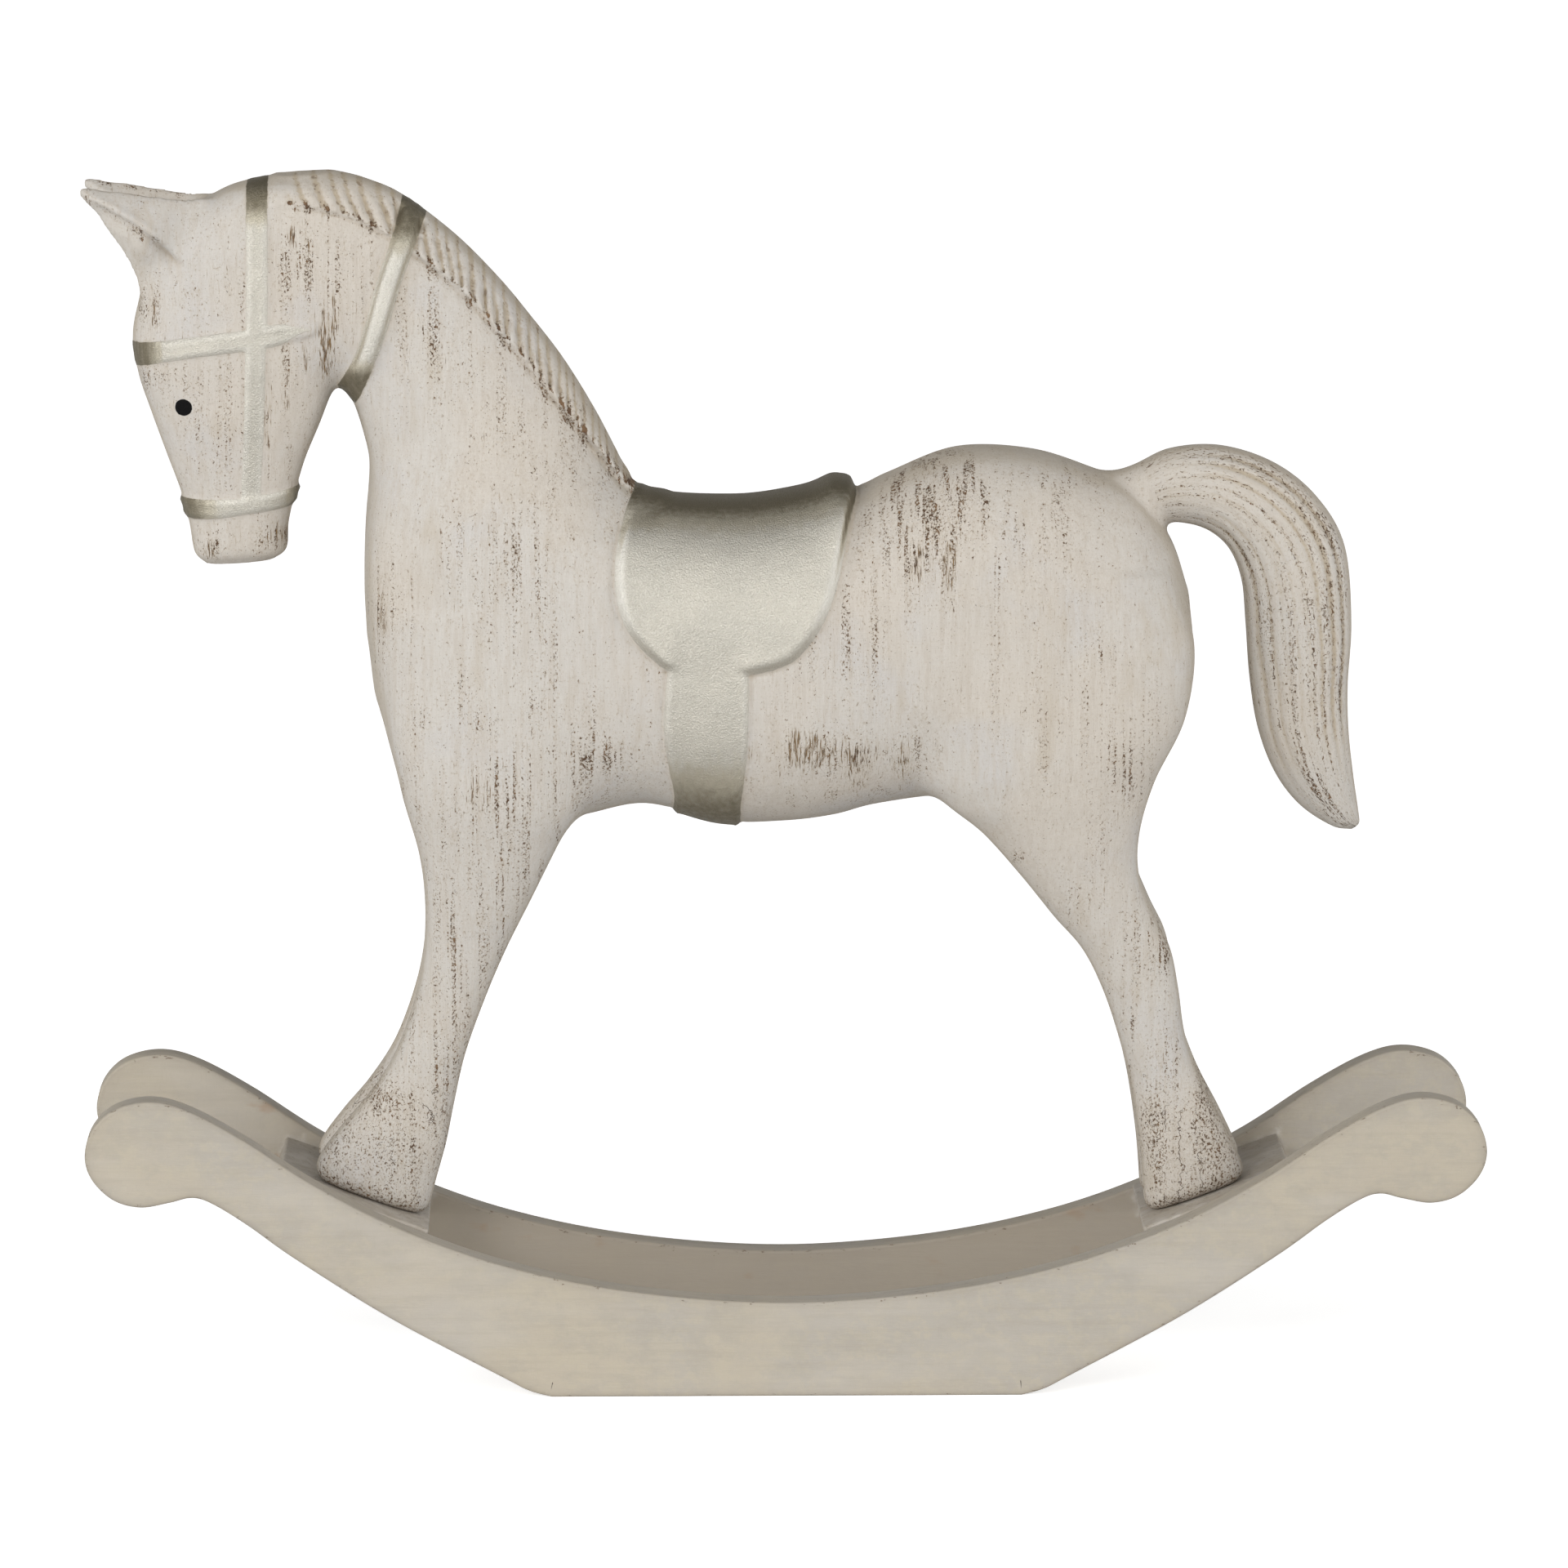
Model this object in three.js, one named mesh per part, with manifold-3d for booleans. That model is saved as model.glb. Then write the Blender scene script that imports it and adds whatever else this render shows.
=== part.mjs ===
// Rocking horse: a carved wooden horse standing on two cross slats between two rocker boards.
// Millimetres, +Z up. The horse faces -X, its near side is -Y, and Z = 0 is the floor.
import * as THREE from 'three';
import { mergeVertices } from 'three/addons/utils/BufferGeometryUtils.js';
import Module from 'manifold-3d';

const wasm = await Module();
wasm.setup();

// Driving dimensions
const BOARD_LENGTH = 600; // rocker board, tip to tip
const BOARD_T = 15; // rocker board thickness
const BASE_W = 120; // over the outer faces of both boards
const BOARD_POINTS = 64; // round the outline
const FLAT_HALF = 101; // half length of the flat stretch a board stands on
const SLAT_T = 12; // cross slat thickness
const SLAT_X0 = 153.3; // inner end of a slat's top face
const SLAT_X1 = 217; // outer end of a slat's top face
const SLAT_Z0 = 70.3; // height of the top face at its inner end
const SLAT_SLOPE = 0.36; // rise per length of the top face
const GAP = 0.3; // glue gap between pieces
const SADDLE_RELIEF = 2.4;
const GIRTH_RELIEF = 1.2;
const STRAP_RELIEF = 1.3;
const MANE_RELIEF = 2.2;
const GROOVE_FLOOR = 0.5; // what is left of the mane relief under a groove
const GROOVE_W = 1.7;
const GROOVE_PITCH = 7.6;
const GROOVE_LEAN = [-1.05, -1.5]; // radians, at the poll and at the withers
const GROOVE_TURN = 0.45; // share of the grooves over which the lean changes
const GROOVE_REACH = [-16, 26]; // beyond the crest and down the neck
const THROAT_RELIEF = 2.8;
const TAIL_LOBES = 9; // shallow flutes round the tail
const TAIL_RIPPLE = 0.035;
const LEG_JOINT_Z = 237.5; // where the legs meet the body block
const NECK_JOINT = [-181, 345, -70, 408]; // x, z at the chest, x, z at the withers
const HEAD_JOINT = [-193, 430, -170, 519]; // x, z at the throat, x, z at the poll
const TAIL_JOINT = [152, 396.5, 166, 371]; // x, z above and below the tail root
const TAIL_CLEAR = 330; // below this height the tail hangs clear of the body
const FRONT_LEG_SPAN = [-300, 20]; // X range that holds the front legs
const HIND_LEG_SPAN = [45, 215];
const LEG_DOWEL = { r: 6, half: 24, y: 26, frontX: -130, hindX: 122 };
const NECK_DOWEL = { r: 7, half: 28 };
const HEAD_DOWEL = { r: 5, half: 22 };
const TAIL_DOWEL = { r: 5, half: 18 };
const SLAT_DOWEL = { r: 3.5, inBoard: 9, inSlat: 22, spread: 18 };
const DOWEL_SIDES = 12;
const SCREW = { head: 4.2, rim: 0.4, shank: 2.1, sunk: 0.8, cone: 2.6, point: 4, length: 36 };
const SCREW_TIP = 0.6;
const HOOF_CENTRE = { y: 18, along: -6 }; // from the middle of the slat
const THROUGH = 400; // half the reach of a cut that goes all the way through

const WHITEWASH = new THREE.MeshStandardMaterial({ color: 0xc0bab4, roughness: 0.7 });
const GREIGE = new THREE.MeshStandardMaterial({ color: 0xaea79c, roughness: 0.6 });
const BEECH = new THREE.MeshStandardMaterial({ color: 0xc9a77c, roughness: 0.8 });
const STEEL = new THREE.MeshStandardMaterial({ color: 0x9a9a98, roughness: 0.4, metalness: 1 });

// A rib is one cross section: its two ends in the side plane, half width and Y of its centre.
const TORSO = [
  [-177.4, 342.3, -177.7, 322.7, 10, 0],
  [-174.4, 377.6, -172.2, 285.2, 29, 0],
  [-161.4, 401.1, -152.4, 253.5, 41, 0],
  [-132.7, 408.9, -121.6, 243.5, 48, 0],
  [-99.2, 402.9, -89.8, 244.4, 52, 0],
  [-65.6, 383, -60, 250, 54, 0],
  [-21.1, 378.8, -28.2, 242.3, 55, 0],
  [13.5, 383.6, -0.4, 242.2, 55, 0],
  [32, 385.4, 21, 244.8, 54.5, 0],
  [45.2, 391.3, 39.4, 249.5, 54, 0],
  [73.8, 402.2, 71.3, 253.5, 54, 0],
  [105.5, 401.4, 103.1, 252.5, 53, 0],
  [131.2, 393.5, 130.9, 264.5, 48, 0],
  [150.1, 384.7, 150.7, 288.2, 40, 0],
  [165.6, 363.6, 166.5, 305.9, 27, 0],
  [173.4, 341.5, 175.1, 325.6, 10, 0],
];
const NECK = [
  [-168, 301, -57, 378, 34, 0],
  [-175.2, 342.3, -68.5, 388.4, 37, 0],
  [-175.8, 371.8, -83.9, 417.2, 34.5, 0],
  [-177, 395.3, -97.2, 439, 31, 0],
  [-180.2, 410.9, -110.8, 457, 28.5, 0],
  [-184.9, 424.6, -125.3, 474.6, 26.5, 0],
  [-190.8, 431.5, -144.6, 493.8, 25.5, 0],
  [-199.6, 435.4, -168.6, 511.2, 24.5, 0],
  [-211.4, 438.3, -189.6, 518.3, 23, 0],
  [-221.2, 444.2, -205.2, 517.8, 17, 0],
];
const HEAD = [
  [-218.6, 520.4, -193, 519, 9, 0],
  [-238.3, 515.2, -181.3, 513, 19, 0],
  [-258.1, 502.2, -173.5, 501.6, 23.5, 0],
  [-271, 488.1, -171.7, 483, 25.5, 0],
  [-275.1, 469.6, -177.8, 457.7, 26.5, 0],
  [-278.3, 453.1, -187.8, 439.2, 27, 0],
  [-276.1, 436.1, -193.8, 426.6, 26, 0],
  [-271, 420.3, -198.8, 413.9, 24.5, 0],
  [-264.2, 401, -205.3, 398.3, 21.5, 0],
  [-258.3, 384.7, -209.9, 382.6, 19, 0],
  [-254.9, 371, -212.5, 370.9, 17.5, 0],
  [-250.8, 360.2, -215.5, 361.6, 15.5, 0],
  [-242.8, 354.3, -223, 356.2, 10, 0],
];
const EAR = [
  [-270.9, 470.4, -248.5, 510, 8.5, 13],
  [-277.3, 481.1, -260, 512, 9, 15],
  [-281.6, 489.1, -270.5, 513.4, 8.4, 16.6],
  [-287.1, 497.2, -280, 515, 7.2, 17.8],
  [-292.5, 504.9, -287.9, 515.7, 5.6, 18.2],
  [-296.9, 510.9, -294.1, 516.8, 3.6, 18.6],
  [-299.6, 514.7, -298.2, 517.2, 1.6, 18.8],
];
const FRONT_LEG = [
  [-165.5, 333.7, -91.4, 333.5, 20, 25],
  [-169.2, 291.3, -83.6, 289.1, 24, 27],
  [-164.5, 259.6, -86.5, 256.5, 24, 28],
  [-157.1, 232.2, -97.2, 235.6, 20.5, 26.5],
  [-154.6, 210.8, -109.3, 210.8, 17, 24.8],
  [-155.3, 189.4, -119.8, 189.4, 14.8, 22.6],
  [-159, 168, -128.8, 168, 13.4, 21],
  [-168, 142.9, -137.7, 142.9, 12.6, 20],
  [-179.3, 125, -142.6, 121.4, 12.6, 19.2],
  [-191.4, 110.7, -146.2, 103.5, 13, 18.6],
  [-201, 97.3, -150.4, 88.1, 13.2, 18.2],
  [-204.4, 84.3, -154.9, 70, 12.6, 18],
  [-204.5, 74.2, -155.5, 62, 12.4, 18],
];
const HIND_LEG = [
  [73.3, 349.8, 161.7, 349.6, 20, 25],
  [63.5, 310.4, 172.8, 323.9, 25, 27],
  [59.6, 270.5, 170.1, 290.3, 26, 28],
  [68, 254, 157.3, 262.6, 23.5, 27.6],
  [84.6, 239.8, 151.9, 239.8, 20, 26.4],
  [101.2, 220.8, 151.9, 220.9, 17, 24.8],
  [115.4, 202.8, 158.6, 203, 15.2, 23],
  [127.6, 188.5, 165.7, 188, 14.2, 21.8],
  [136.6, 170.6, 169.3, 170.5, 13.2, 20.8],
  [143.8, 149.1, 172.4, 150, 12.6, 19.8],
  [149.2, 127.6, 179.5, 130, 12.6, 19],
  [153.1, 102.4, 189.3, 110.9, 13, 18.4],
  [154.8, 82.9, 196.9, 94.8, 13, 18],
  [155.5, 66.8, 201.6, 82.7, 12.6, 18],
  [155.5, 58.7, 203.6, 74.7, 12.4, 18],
];
const TAIL = [
  [132.3, 388.6, 144.3, 361.1, 13, 0],
  [150, 395, 162.1, 369.4, 14.5, 0],
  [165.8, 402.1, 172, 369.9, 17, 0],
  [187.6, 403.2, 182.5, 366.5, 19, 0],
  [210.6, 395.6, 191.3, 358.4, 20, 0],
  [228.8, 380.9, 196.6, 344.9, 20.5, 0],
  [240.8, 359.9, 198.4, 327.1, 21, 0],
  [244, 327.4, 200.3, 302.9, 20.5, 0],
  [242.7, 299.8, 204, 280.8, 19, 0],
  [243.2, 280, 211.2, 261.8, 16.5, 0],
  [245.3, 261.2, 221.9, 247.4, 12.5, 0],
  [247.6, 245.9, 236.2, 237.7, 7, 0],
  [248.6, 238.9, 245.3, 236, 2.2, 0],
];

// Relief outlines in the side plane
const SADDLE = [
  [-60, 400], [-64, 387.5], [-68.4, 380.5], [-72.4, 365.6], [-73.1, 352.8], [-71.1, 338],
  [-64.2, 326], [-49.3, 312.4], [-33, 310.6], [-16, 312.4], [-1.5, 315.9], [5.8, 320.4],
  [14.4, 331.8], [20, 344.3], [22.9, 355.7], [25.8, 368.6], [28.4, 379], [31.9, 388], [33, 402],
  [10, 412], [-40, 412],
];
const GIRTH = [
  [-49.3, 318], [-51.3, 306], [-52.5, 289.5], [-50.4, 272.6], [-47.2, 257.9], [-48.2, 250],
  [-49, 225], [-18.6, 225], [-19.3, 248.9], [-19.2, 256], [-17, 273], [-16, 295.2], [-16.1, 318],
];
const MANE = [
  [-219, 545], [-219, 508.6], [-202.9, 508.7], [-186.4, 504.8], [-170.8, 497.8], [-154.2, 486],
  [-145.6, 479.3], [-133.5, 468.4], [-122.5, 455.6], [-110.4, 441.9], [-101.4, 430.1],
  [-90.3, 416.2], [-79.2, 402.5], [-70, 390], [-62, 384], [-56, 420], [-100, 480], [-150, 540],
];
const CREST = [
  [-216, 523], [-189, 521], [-160, 510], [-129.5, 483], [-102.5, 452], [-82.5, 419], [-69, 394],
];
const HEAD_STRAP = [
  [-229.1, 540], [-228.8, 493.5], [-228.9, 465.8], [-229.6, 446.7], [-230.3, 419.4],
  [-231.8, 389.9], [-232.2, 379], [-223.9, 379], [-223.5, 389.7], [-221.7, 419.2],
  [-220.9, 446.5], [-219.8, 465.6], [-219.6, 493.3], [-219.9, 540],
];
const BROW_BAND = [
  [-290, 450], [-277.2, 450.4], [-268.4, 451.4], [-256.4, 453.3], [-241.4, 455.6],
  [-229.2, 457.1], [-220.2, 459], [-208.1, 460.7], [-198, 461.2], [-198, 454.8], [-208.1, 452.3],
  [-220.3, 449.3], [-229.9, 448.1], [-244.9, 446.3], [-259.9, 443.9], [-273.2, 440.6],
  [-290, 437],
];
const NOSE_BAND = [
  [-266, 383.4], [-256.7, 383.4], [-247.3, 383.2], [-231.9, 383.8], [-219.4, 385.9], [-203, 389],
  [-203, 380.6], [-219.5, 378.4], [-232, 376.7], [-242.5, 374.8], [-253.5, 374.3], [-266, 374],
];
const THROAT_STRAP = [
  [-158, 530], [-162.3, 511.1], [-166.6, 494.5], [-172.2, 479.9], [-177.2, 461.5], [-181.8, 446],
  [-187.3, 436], [-191, 430], [-184.5, 423], [-181.1, 428.8], [-173.9, 445.5], [-168.5, 461.3],
  [-163.3, 479], [-157.3, 494.1], [-153, 506], [-147, 520],
];

// Carved forms

function section(rib, { n, power, grow, ripple, side }) {
  const [ax, az, bx, bz, w, y] = rib;
  const cx = (ax + bx) / 2;
  const cz = (az + bz) / 2;
  const longer = 1 + grow / (Math.hypot(bx - ax, bz - az) / 2);
  const ring = [];
  for (let i = 0; i < n; i++) {
    const t = (2 * Math.PI * i) / n;
    const c = Math.cos(t);
    const s = Math.sin(t);
    const wave = 1 + ripple * Math.cos(TAIL_LOBES * t);
    const u = Math.sign(c) * Math.abs(c) ** (2 / power) * longer * wave;
    const v = Math.sign(s) * Math.abs(s) ** (2 / power) * wave;
    ring.push([cx - ((bx - ax) / 2) * u, side * y + v * (w + grow), cz - ((bz - az) / 2) * u]);
  }
  return ring;
}

// A closed form through the ribs, its ripple fading out over the first and last two
function loft(ribs, { n, power, grow = 0, ripple = 0, side = 1 }) {
  const last = ribs.length - 1;
  const rings = ribs.map((rib, i) => {
    const fade = Math.min(1, i / 2, (last - i) / 2);
    return section(rib, { n, power, grow, ripple: ripple * fade, side });
  });
  const verts = rings.flat();
  const tris = [];
  for (let i = 0; i < last; i++) {
    for (let j = 0; j < n; j++) {
      const [p, q] = [i * n + j, i * n + ((j + 1) % n)];
      tris.push([p, q, q + n], [p, q + n, p + n]);
    }
  }
  const middle = (ring) => [0, 1, 2].map((k) => ring.reduce((sum, v) => sum + v[k], 0) / n);
  const [startCap, endCap] = [verts.length, verts.length + 1];
  verts.push(middle(rings[0]), middle(rings[last]));
  for (let j = 0; j < n; j++) {
    const k = (j + 1) % n;
    tris.push([startCap, k, j], [endCap, last * n + j, last * n + k]);
  }
  return closed(verts, tris);
}

function closed(verts, tris) {
  let volume = 0;
  for (const [i, j, k] of tris) {
    const [a, b, c] = [verts[i], verts[j], verts[k]];
    volume += a[0] * (b[1] * c[2] - b[2] * c[1]) + a[1] * (b[2] * c[0] - b[0] * c[2])
      + a[2] * (b[0] * c[1] - b[1] * c[0]);
  }
  const faces = volume < 0 ? tris.map(([i, j, k]) => [i, k, j]) : tris;
  return new wasm.Manifold(new wasm.Mesh({
    numProp: 3,
    vertProperties: new Float32Array(verts.flat()),
    triVerts: new Uint32Array(faces.flat()),
  }));
}

function fromGeometry(source) {
  const bare = source.clone();
  bare.deleteAttribute('normal');
  bare.deleteAttribute('uv');
  const g = mergeVertices(bare, 1e-4);
  return new wasm.Manifold(new wasm.Mesh({
    numProp: 3,
    vertProperties: new Float32Array(g.attributes.position.array),
    triVerts: new Uint32Array(g.index.array),
  }));
}

// A prism through the whole width, drawn in the side plane
function prism(points) {
  const shape = new THREE.Shape(points.map(([x, z]) => new THREE.Vector2(x, z)));
  const g = new THREE.ExtrudeGeometry(shape, { depth: 2 * THROUGH, bevelEnabled: false });
  g.translate(0, 0, -THROUGH);
  g.rotateX(Math.PI / 2);
  return fromGeometry(g);
}

// Everything on the left of the line, moved away from it by a shift
function leftOf([x0, z0, x1, z1], shift) {
  const length = Math.hypot(x1 - x0, z1 - z0);
  const d = [(x1 - x0) / length, (z1 - z0) / length];
  const at = (a, b) => [x0 + d[0] * a - d[1] * b, z0 + d[1] * a + d[0] * b];
  return prism([
    at(-THROUGH, shift), at(THROUGH, shift), at(THROUGH, THROUGH), at(-THROUGH, THROUGH),
  ]);
}

// Torso, neck and head, grown outwards by the height of a relief
function trunk(grow) {
  return loft(TORSO, { n: 30, power: 2.5, grow })
    .add(loft(NECK, { n: 26, power: 2.4, grow }))
    .add(loft(HEAD, { n: 24, power: 2.5, grow }));
}

function horse(grow) {
  let form = trunk(grow);
  for (const side of [-1, 1]) {
    form = form.add(loft(EAR, { n: 16, power: 1.5, side }))
      .add(loft(FRONT_LEG, { n: 22, power: 2.5, side }))
      .add(loft(HIND_LEG, { n: 22, power: 2.5, side }));
  }
  return form;
}

// Grooves of the mane follow the crest and turn from slanted to upright
function maneGrooves() {
  const crest = new THREE.CatmullRomCurve3(CREST.map(([x, z]) => new THREE.Vector3(x, z, 0)));
  const count = Math.floor(crest.getLength() / GROOVE_PITCH);
  const upright = GROOVE_TURN * count;
  const cuts = [];
  for (let i = 1; i < count - 2; i++) {
    const p = crest.getPointAt(i / count);
    const lean = THREE.MathUtils.lerp(...GROOVE_LEAN, Math.min(1, i / upright));
    const d = [Math.cos(lean), Math.sin(lean)];
    const at = (a, b) => [p.x + d[0] * a - d[1] * b, p.y + d[1] * a + d[0] * b];
    const h = GROOVE_W / 2;
    const [start, end] = GROOVE_REACH;
    cuts.push(prism([at(start, -h), at(end, -h), at(end, h), at(start, h)]));
  }
  return cuts.reduce((a, b) => a.add(b));
}

const raised = (outline, relief) => trunk(relief).intersect(prism(outline));
const mane = raised(MANE, MANE_RELIEF).subtract(maneGrooves().subtract(horse(GROOVE_FLOOR)));
let body = horse(0).add(raised(SADDLE, SADDLE_RELIEF)).add(raised(GIRTH, GIRTH_RELIEF)).add(mane);
for (const strap of [HEAD_STRAP, BROW_BAND, NOSE_BAND]) body = body.add(raised(strap, STRAP_RELIEF));
body = body.add(raised(THROAT_STRAP, THROAT_RELIEF));

// Joints between the carved blocks

const slatTop = (x) => SLAT_Z0 + SLAT_SLOPE * (Math.abs(x) - SLAT_X0);
const belowSlat = (s) =>
  prism([[s * 100, slatTop(100) + GAP], [s * 300, slatTop(300) + GAP], [s * 300, 0], [s * 100, 0]]);
const box = (x0, x1, y0, y1, z0, z1) => {
  const g = new THREE.BoxGeometry(x1 - x0, y1 - y0, z1 - z0);
  g.translate((x0 + x1) / 2, (y0 + y1) / 2, (z0 + z1) / 2);
  return fromGeometry(g);
};
body = body.subtract(belowSlat(-1)).subtract(belowSlat(1));

// Each block is cut back by half the glue gap on either side of a joint
const half = GAP / 2;
const WIDE = BASE_W / 2;
const belowLegJoint = ([x0, x1], s, shift) =>
  box(x0, x1, s < 0 ? -WIDE : 0, s < 0 ? 0 : WIDE, 0, LEG_JOINT_Z + shift);
const allLegs = (shift) => [FRONT_LEG_SPAN, HIND_LEG_SPAN]
  .flatMap((span) => [-1, 1].map((s) => belowLegJoint(span, s, shift)))
  .reduce((a, b) => a.add(b));

const tailForm = loft(TAIL, { n: 36, power: 2.2, ripple: TAIL_RIPPLE });
const tailTop = box(100, 185, -WIDE, WIDE, 350, 450);
const tailHanging = box(185, 300, -WIDE, WIDE, 200, TAIL_CLEAR);
const blocks = {
  head: body.intersect(leftOf(HEAD_JOINT, half)),
  neck: body.intersect(leftOf(NECK_JOINT, half)).subtract(leftOf(HEAD_JOINT, -half)),
  torso: body.add(tailForm.intersect(tailTop)).subtract(leftOf(HEAD_JOINT, -half))
    .subtract(leftOf(NECK_JOINT, -half)).subtract(leftOf(TAIL_JOINT, -half)).subtract(allLegs(half)),
  tail: tailForm.intersect(leftOf(TAIL_JOINT, half).add(tailHanging)),
};
for (const [s, name] of [[-1, 'near'], [1, 'far']]) {
  blocks[`leg_front_${name}`] = body.intersect(belowLegJoint(FRONT_LEG_SPAN, s, -half));
  blocks[`leg_hind_${name}`] = body.intersect(belowLegJoint(HIND_LEG_SPAN, s, -half));
}

// Rocker boards and cross slats

// The right half from the end of the flat stretch round the scroll to the middle of the top
const BOARD_HALF = [
  [FLAT_HALF, 0], [110.5, 2.7], [121.5, 8.4], [169.5, 34.5], [210, 60.5], [231, 75.8], [246, 85.2],
  [254.5, 87.7], [264, 85.6], [276.4, 83.6], [288, 86.8], [297, 95.6], [BOARD_LENGTH / 2, 106],
  [296.6, 117.6], [287, 126.4], [271.5, 129.6], [255, 125.2], [232, 112.5], [202, 92.8], [166, 74],
  [120, 57.2], [65, 45.8], [0, 41],
];

function boardOutline() {
  const leftHalf = BOARD_HALF.slice(0, -1).reverse().map(([x, z]) => [-x, z]);
  const curve = new THREE.SplineCurve(
    [...BOARD_HALF, ...leftHalf].map(([x, z]) => new THREE.Vector2(x, z)));
  return new THREE.Shape(curve.getPoints(BOARD_POINTS));
}

function board(s) {
  const edge = 0.8;
  const g = new THREE.ExtrudeGeometry(boardOutline(), {
    depth: BOARD_T - 2 * edge, bevelEnabled: true, bevelSegments: 1,
    bevelThickness: edge, bevelSize: edge, bevelOffset: -edge,
  });
  g.rotateX(Math.PI / 2);
  g.translate(0, s * (BASE_W / 2 - BOARD_T / 2) + BOARD_T / 2 - edge, 0);
  return fromGeometry(g);
}

const slope = Math.atan(SLAT_SLOPE);
const slatLength = (SLAT_X1 - SLAT_X0) / Math.cos(slope);
const slatMiddle = (s) => new THREE.Vector3(
  s * ((SLAT_X0 + SLAT_X1) / 2 + (SLAT_T / 2) * Math.sin(slope)), 0,
  slatTop((SLAT_X0 + SLAT_X1) / 2) - (SLAT_T / 2) * Math.cos(slope));
const slatAxis = (s) => new THREE.Vector3(s * Math.cos(slope), 0, Math.sin(slope));
const slatNormal = (s) => new THREE.Vector3(-s * Math.sin(slope), 0, Math.cos(slope));

function slat(s) {
  const inner = BASE_W - 2 * BOARD_T - 2 * GAP;
  const g = new THREE.BoxGeometry(slatLength, inner, SLAT_T);
  g.rotateY(-s * slope);
  const m = slatMiddle(s);
  g.translate(m.x, 0, m.z);
  return fromGeometry(g);
}

// Dowels and screws

function turned(profile, from, axis, sides) {
  const g = new THREE.LatheGeometry(profile.map(([r, h]) => new THREE.Vector2(r, h)), sides);
  const turn = new THREE.Quaternion().setFromUnitVectors(new THREE.Vector3(0, 1, 0), axis);
  g.applyQuaternion(turn);
  g.translate(from.x, from.y, from.z);
  return fromGeometry(g);
}

const pins = {};
const holes = [];
function dowel(name, centre, axis, { r, half: reach }, hosts) {
  const bar = (radius, h) =>
    turned([[0, -h], [radius, -h], [radius, h], [0, h]], centre, axis, DOWEL_SIDES);
  pins[name] = [bar(r, reach), BEECH];
  holes.push([hosts, bar(r + GAP, reach + GAP)]);
}
const across = (line, f) => new THREE.Vector3(
  line[0] + (line[2] - line[0]) * f, 0, line[1] + (line[3] - line[1]) * f);
const square = (line) => new THREE.Vector3(line[1] - line[3], 0, line[2] - line[0]).normalize();

for (const [name, line, place, size, hosts] of [
  ['neck_dowel_front', NECK_JOINT, 0.34, NECK_DOWEL, ['neck', 'torso']],
  ['neck_dowel_rear', NECK_JOINT, 0.68, NECK_DOWEL, ['neck', 'torso']],
  ['head_dowel_lower', HEAD_JOINT, 0.3, HEAD_DOWEL, ['head', 'neck']],
  ['head_dowel_upper', HEAD_JOINT, 0.68, HEAD_DOWEL, ['head', 'neck']],
  ['tail_dowel', TAIL_JOINT, 0.5, TAIL_DOWEL, ['tail', 'torso']],
]) {
  dowel(name, across(line, place), square(line), size, hosts);
}
const up = new THREE.Vector3(0, 0, 1);
for (const [s, name] of [[-1, 'near'], [1, 'far']]) {
  for (const [leg, x] of [['front', LEG_DOWEL.frontX], ['hind', LEG_DOWEL.hindX]]) {
    dowel(`leg_dowel_${leg}_${name}`, new THREE.Vector3(x, s * LEG_DOWEL.y, LEG_JOINT_Z), up,
      LEG_DOWEL, [`leg_${leg}_${name}`, 'torso']);
  }
}

for (const [e, end] of [[-1, 'front'], [1, 'rear']]) {
  for (const [s, name] of [[-1, 'near'], [1, 'far']]) {
    for (const [k, place] of [[-1, 'inner'], [1, 'outer']]) {
      const reach = (SLAT_DOWEL.inBoard + SLAT_DOWEL.inSlat) / 2;
      const c = slatMiddle(e).addScaledVector(slatAxis(e), k * SLAT_DOWEL.spread);
      c.y = s * (BASE_W / 2 - BOARD_T + (SLAT_DOWEL.inBoard - SLAT_DOWEL.inSlat) / 2);
      dowel(`slat_dowel_${end}_${name}_${place}`, c, new THREE.Vector3(0, 1, 0),
        { r: SLAT_DOWEL.r, half: reach }, [`cross_slat_${end}`, `rocker_board_${name}`]);
    }
  }
}

// Up through the slat into the hoof; its hole is wider by the gap and open below
function hoofScrew(e, s, end, name) {
  const foot = slatMiddle(e).addScaledVector(slatAxis(e), HOOF_CENTRE.along)
    .addScaledVector(slatNormal(e), -SLAT_T / 2);
  foot.y = s * HOOF_CENTRE.y;
  const { head, rim, shank, sunk, cone, point, length } = SCREW;
  const outline = (gap) => turned([
    [0, gap ? -sunk : sunk], [head + gap, gap ? -sunk : sunk], [head + gap, sunk + rim],
    [shank + gap, sunk + cone], [shank + gap, length - point],
    [gap ? shank + gap : SCREW_TIP, length + gap], [0, length + gap],
  ], foot, slatNormal(e), DOWEL_SIDES);
  pins[`hoof_screw_${end}_${name}`] = [outline(0), STEEL];
  const leg = end === 'rear' ? 'hind' : 'front';
  holes.push([[`cross_slat_${end}`, `leg_${leg}_${name}`], outline(GAP)]);
}
for (const [e, end] of [[-1, 'front'], [1, 'rear']]) {
  for (const [s, name] of [[-1, 'near'], [1, 'far']]) hoofScrew(e, s, end, name);
}

const pieces = {
  rocker_board_near: [board(-1), GREIGE],
  rocker_board_far: [board(1), GREIGE],
  cross_slat_front: [slat(-1), GREIGE],
  cross_slat_rear: [slat(1), GREIGE],
};
for (const [name, block] of Object.entries(blocks)) pieces[name] = [block, WHITEWASH];
for (const [hosts, hole] of holes) {
  for (const host of hosts) pieces[host][0] = pieces[host][0].subtract(hole);
}

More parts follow.
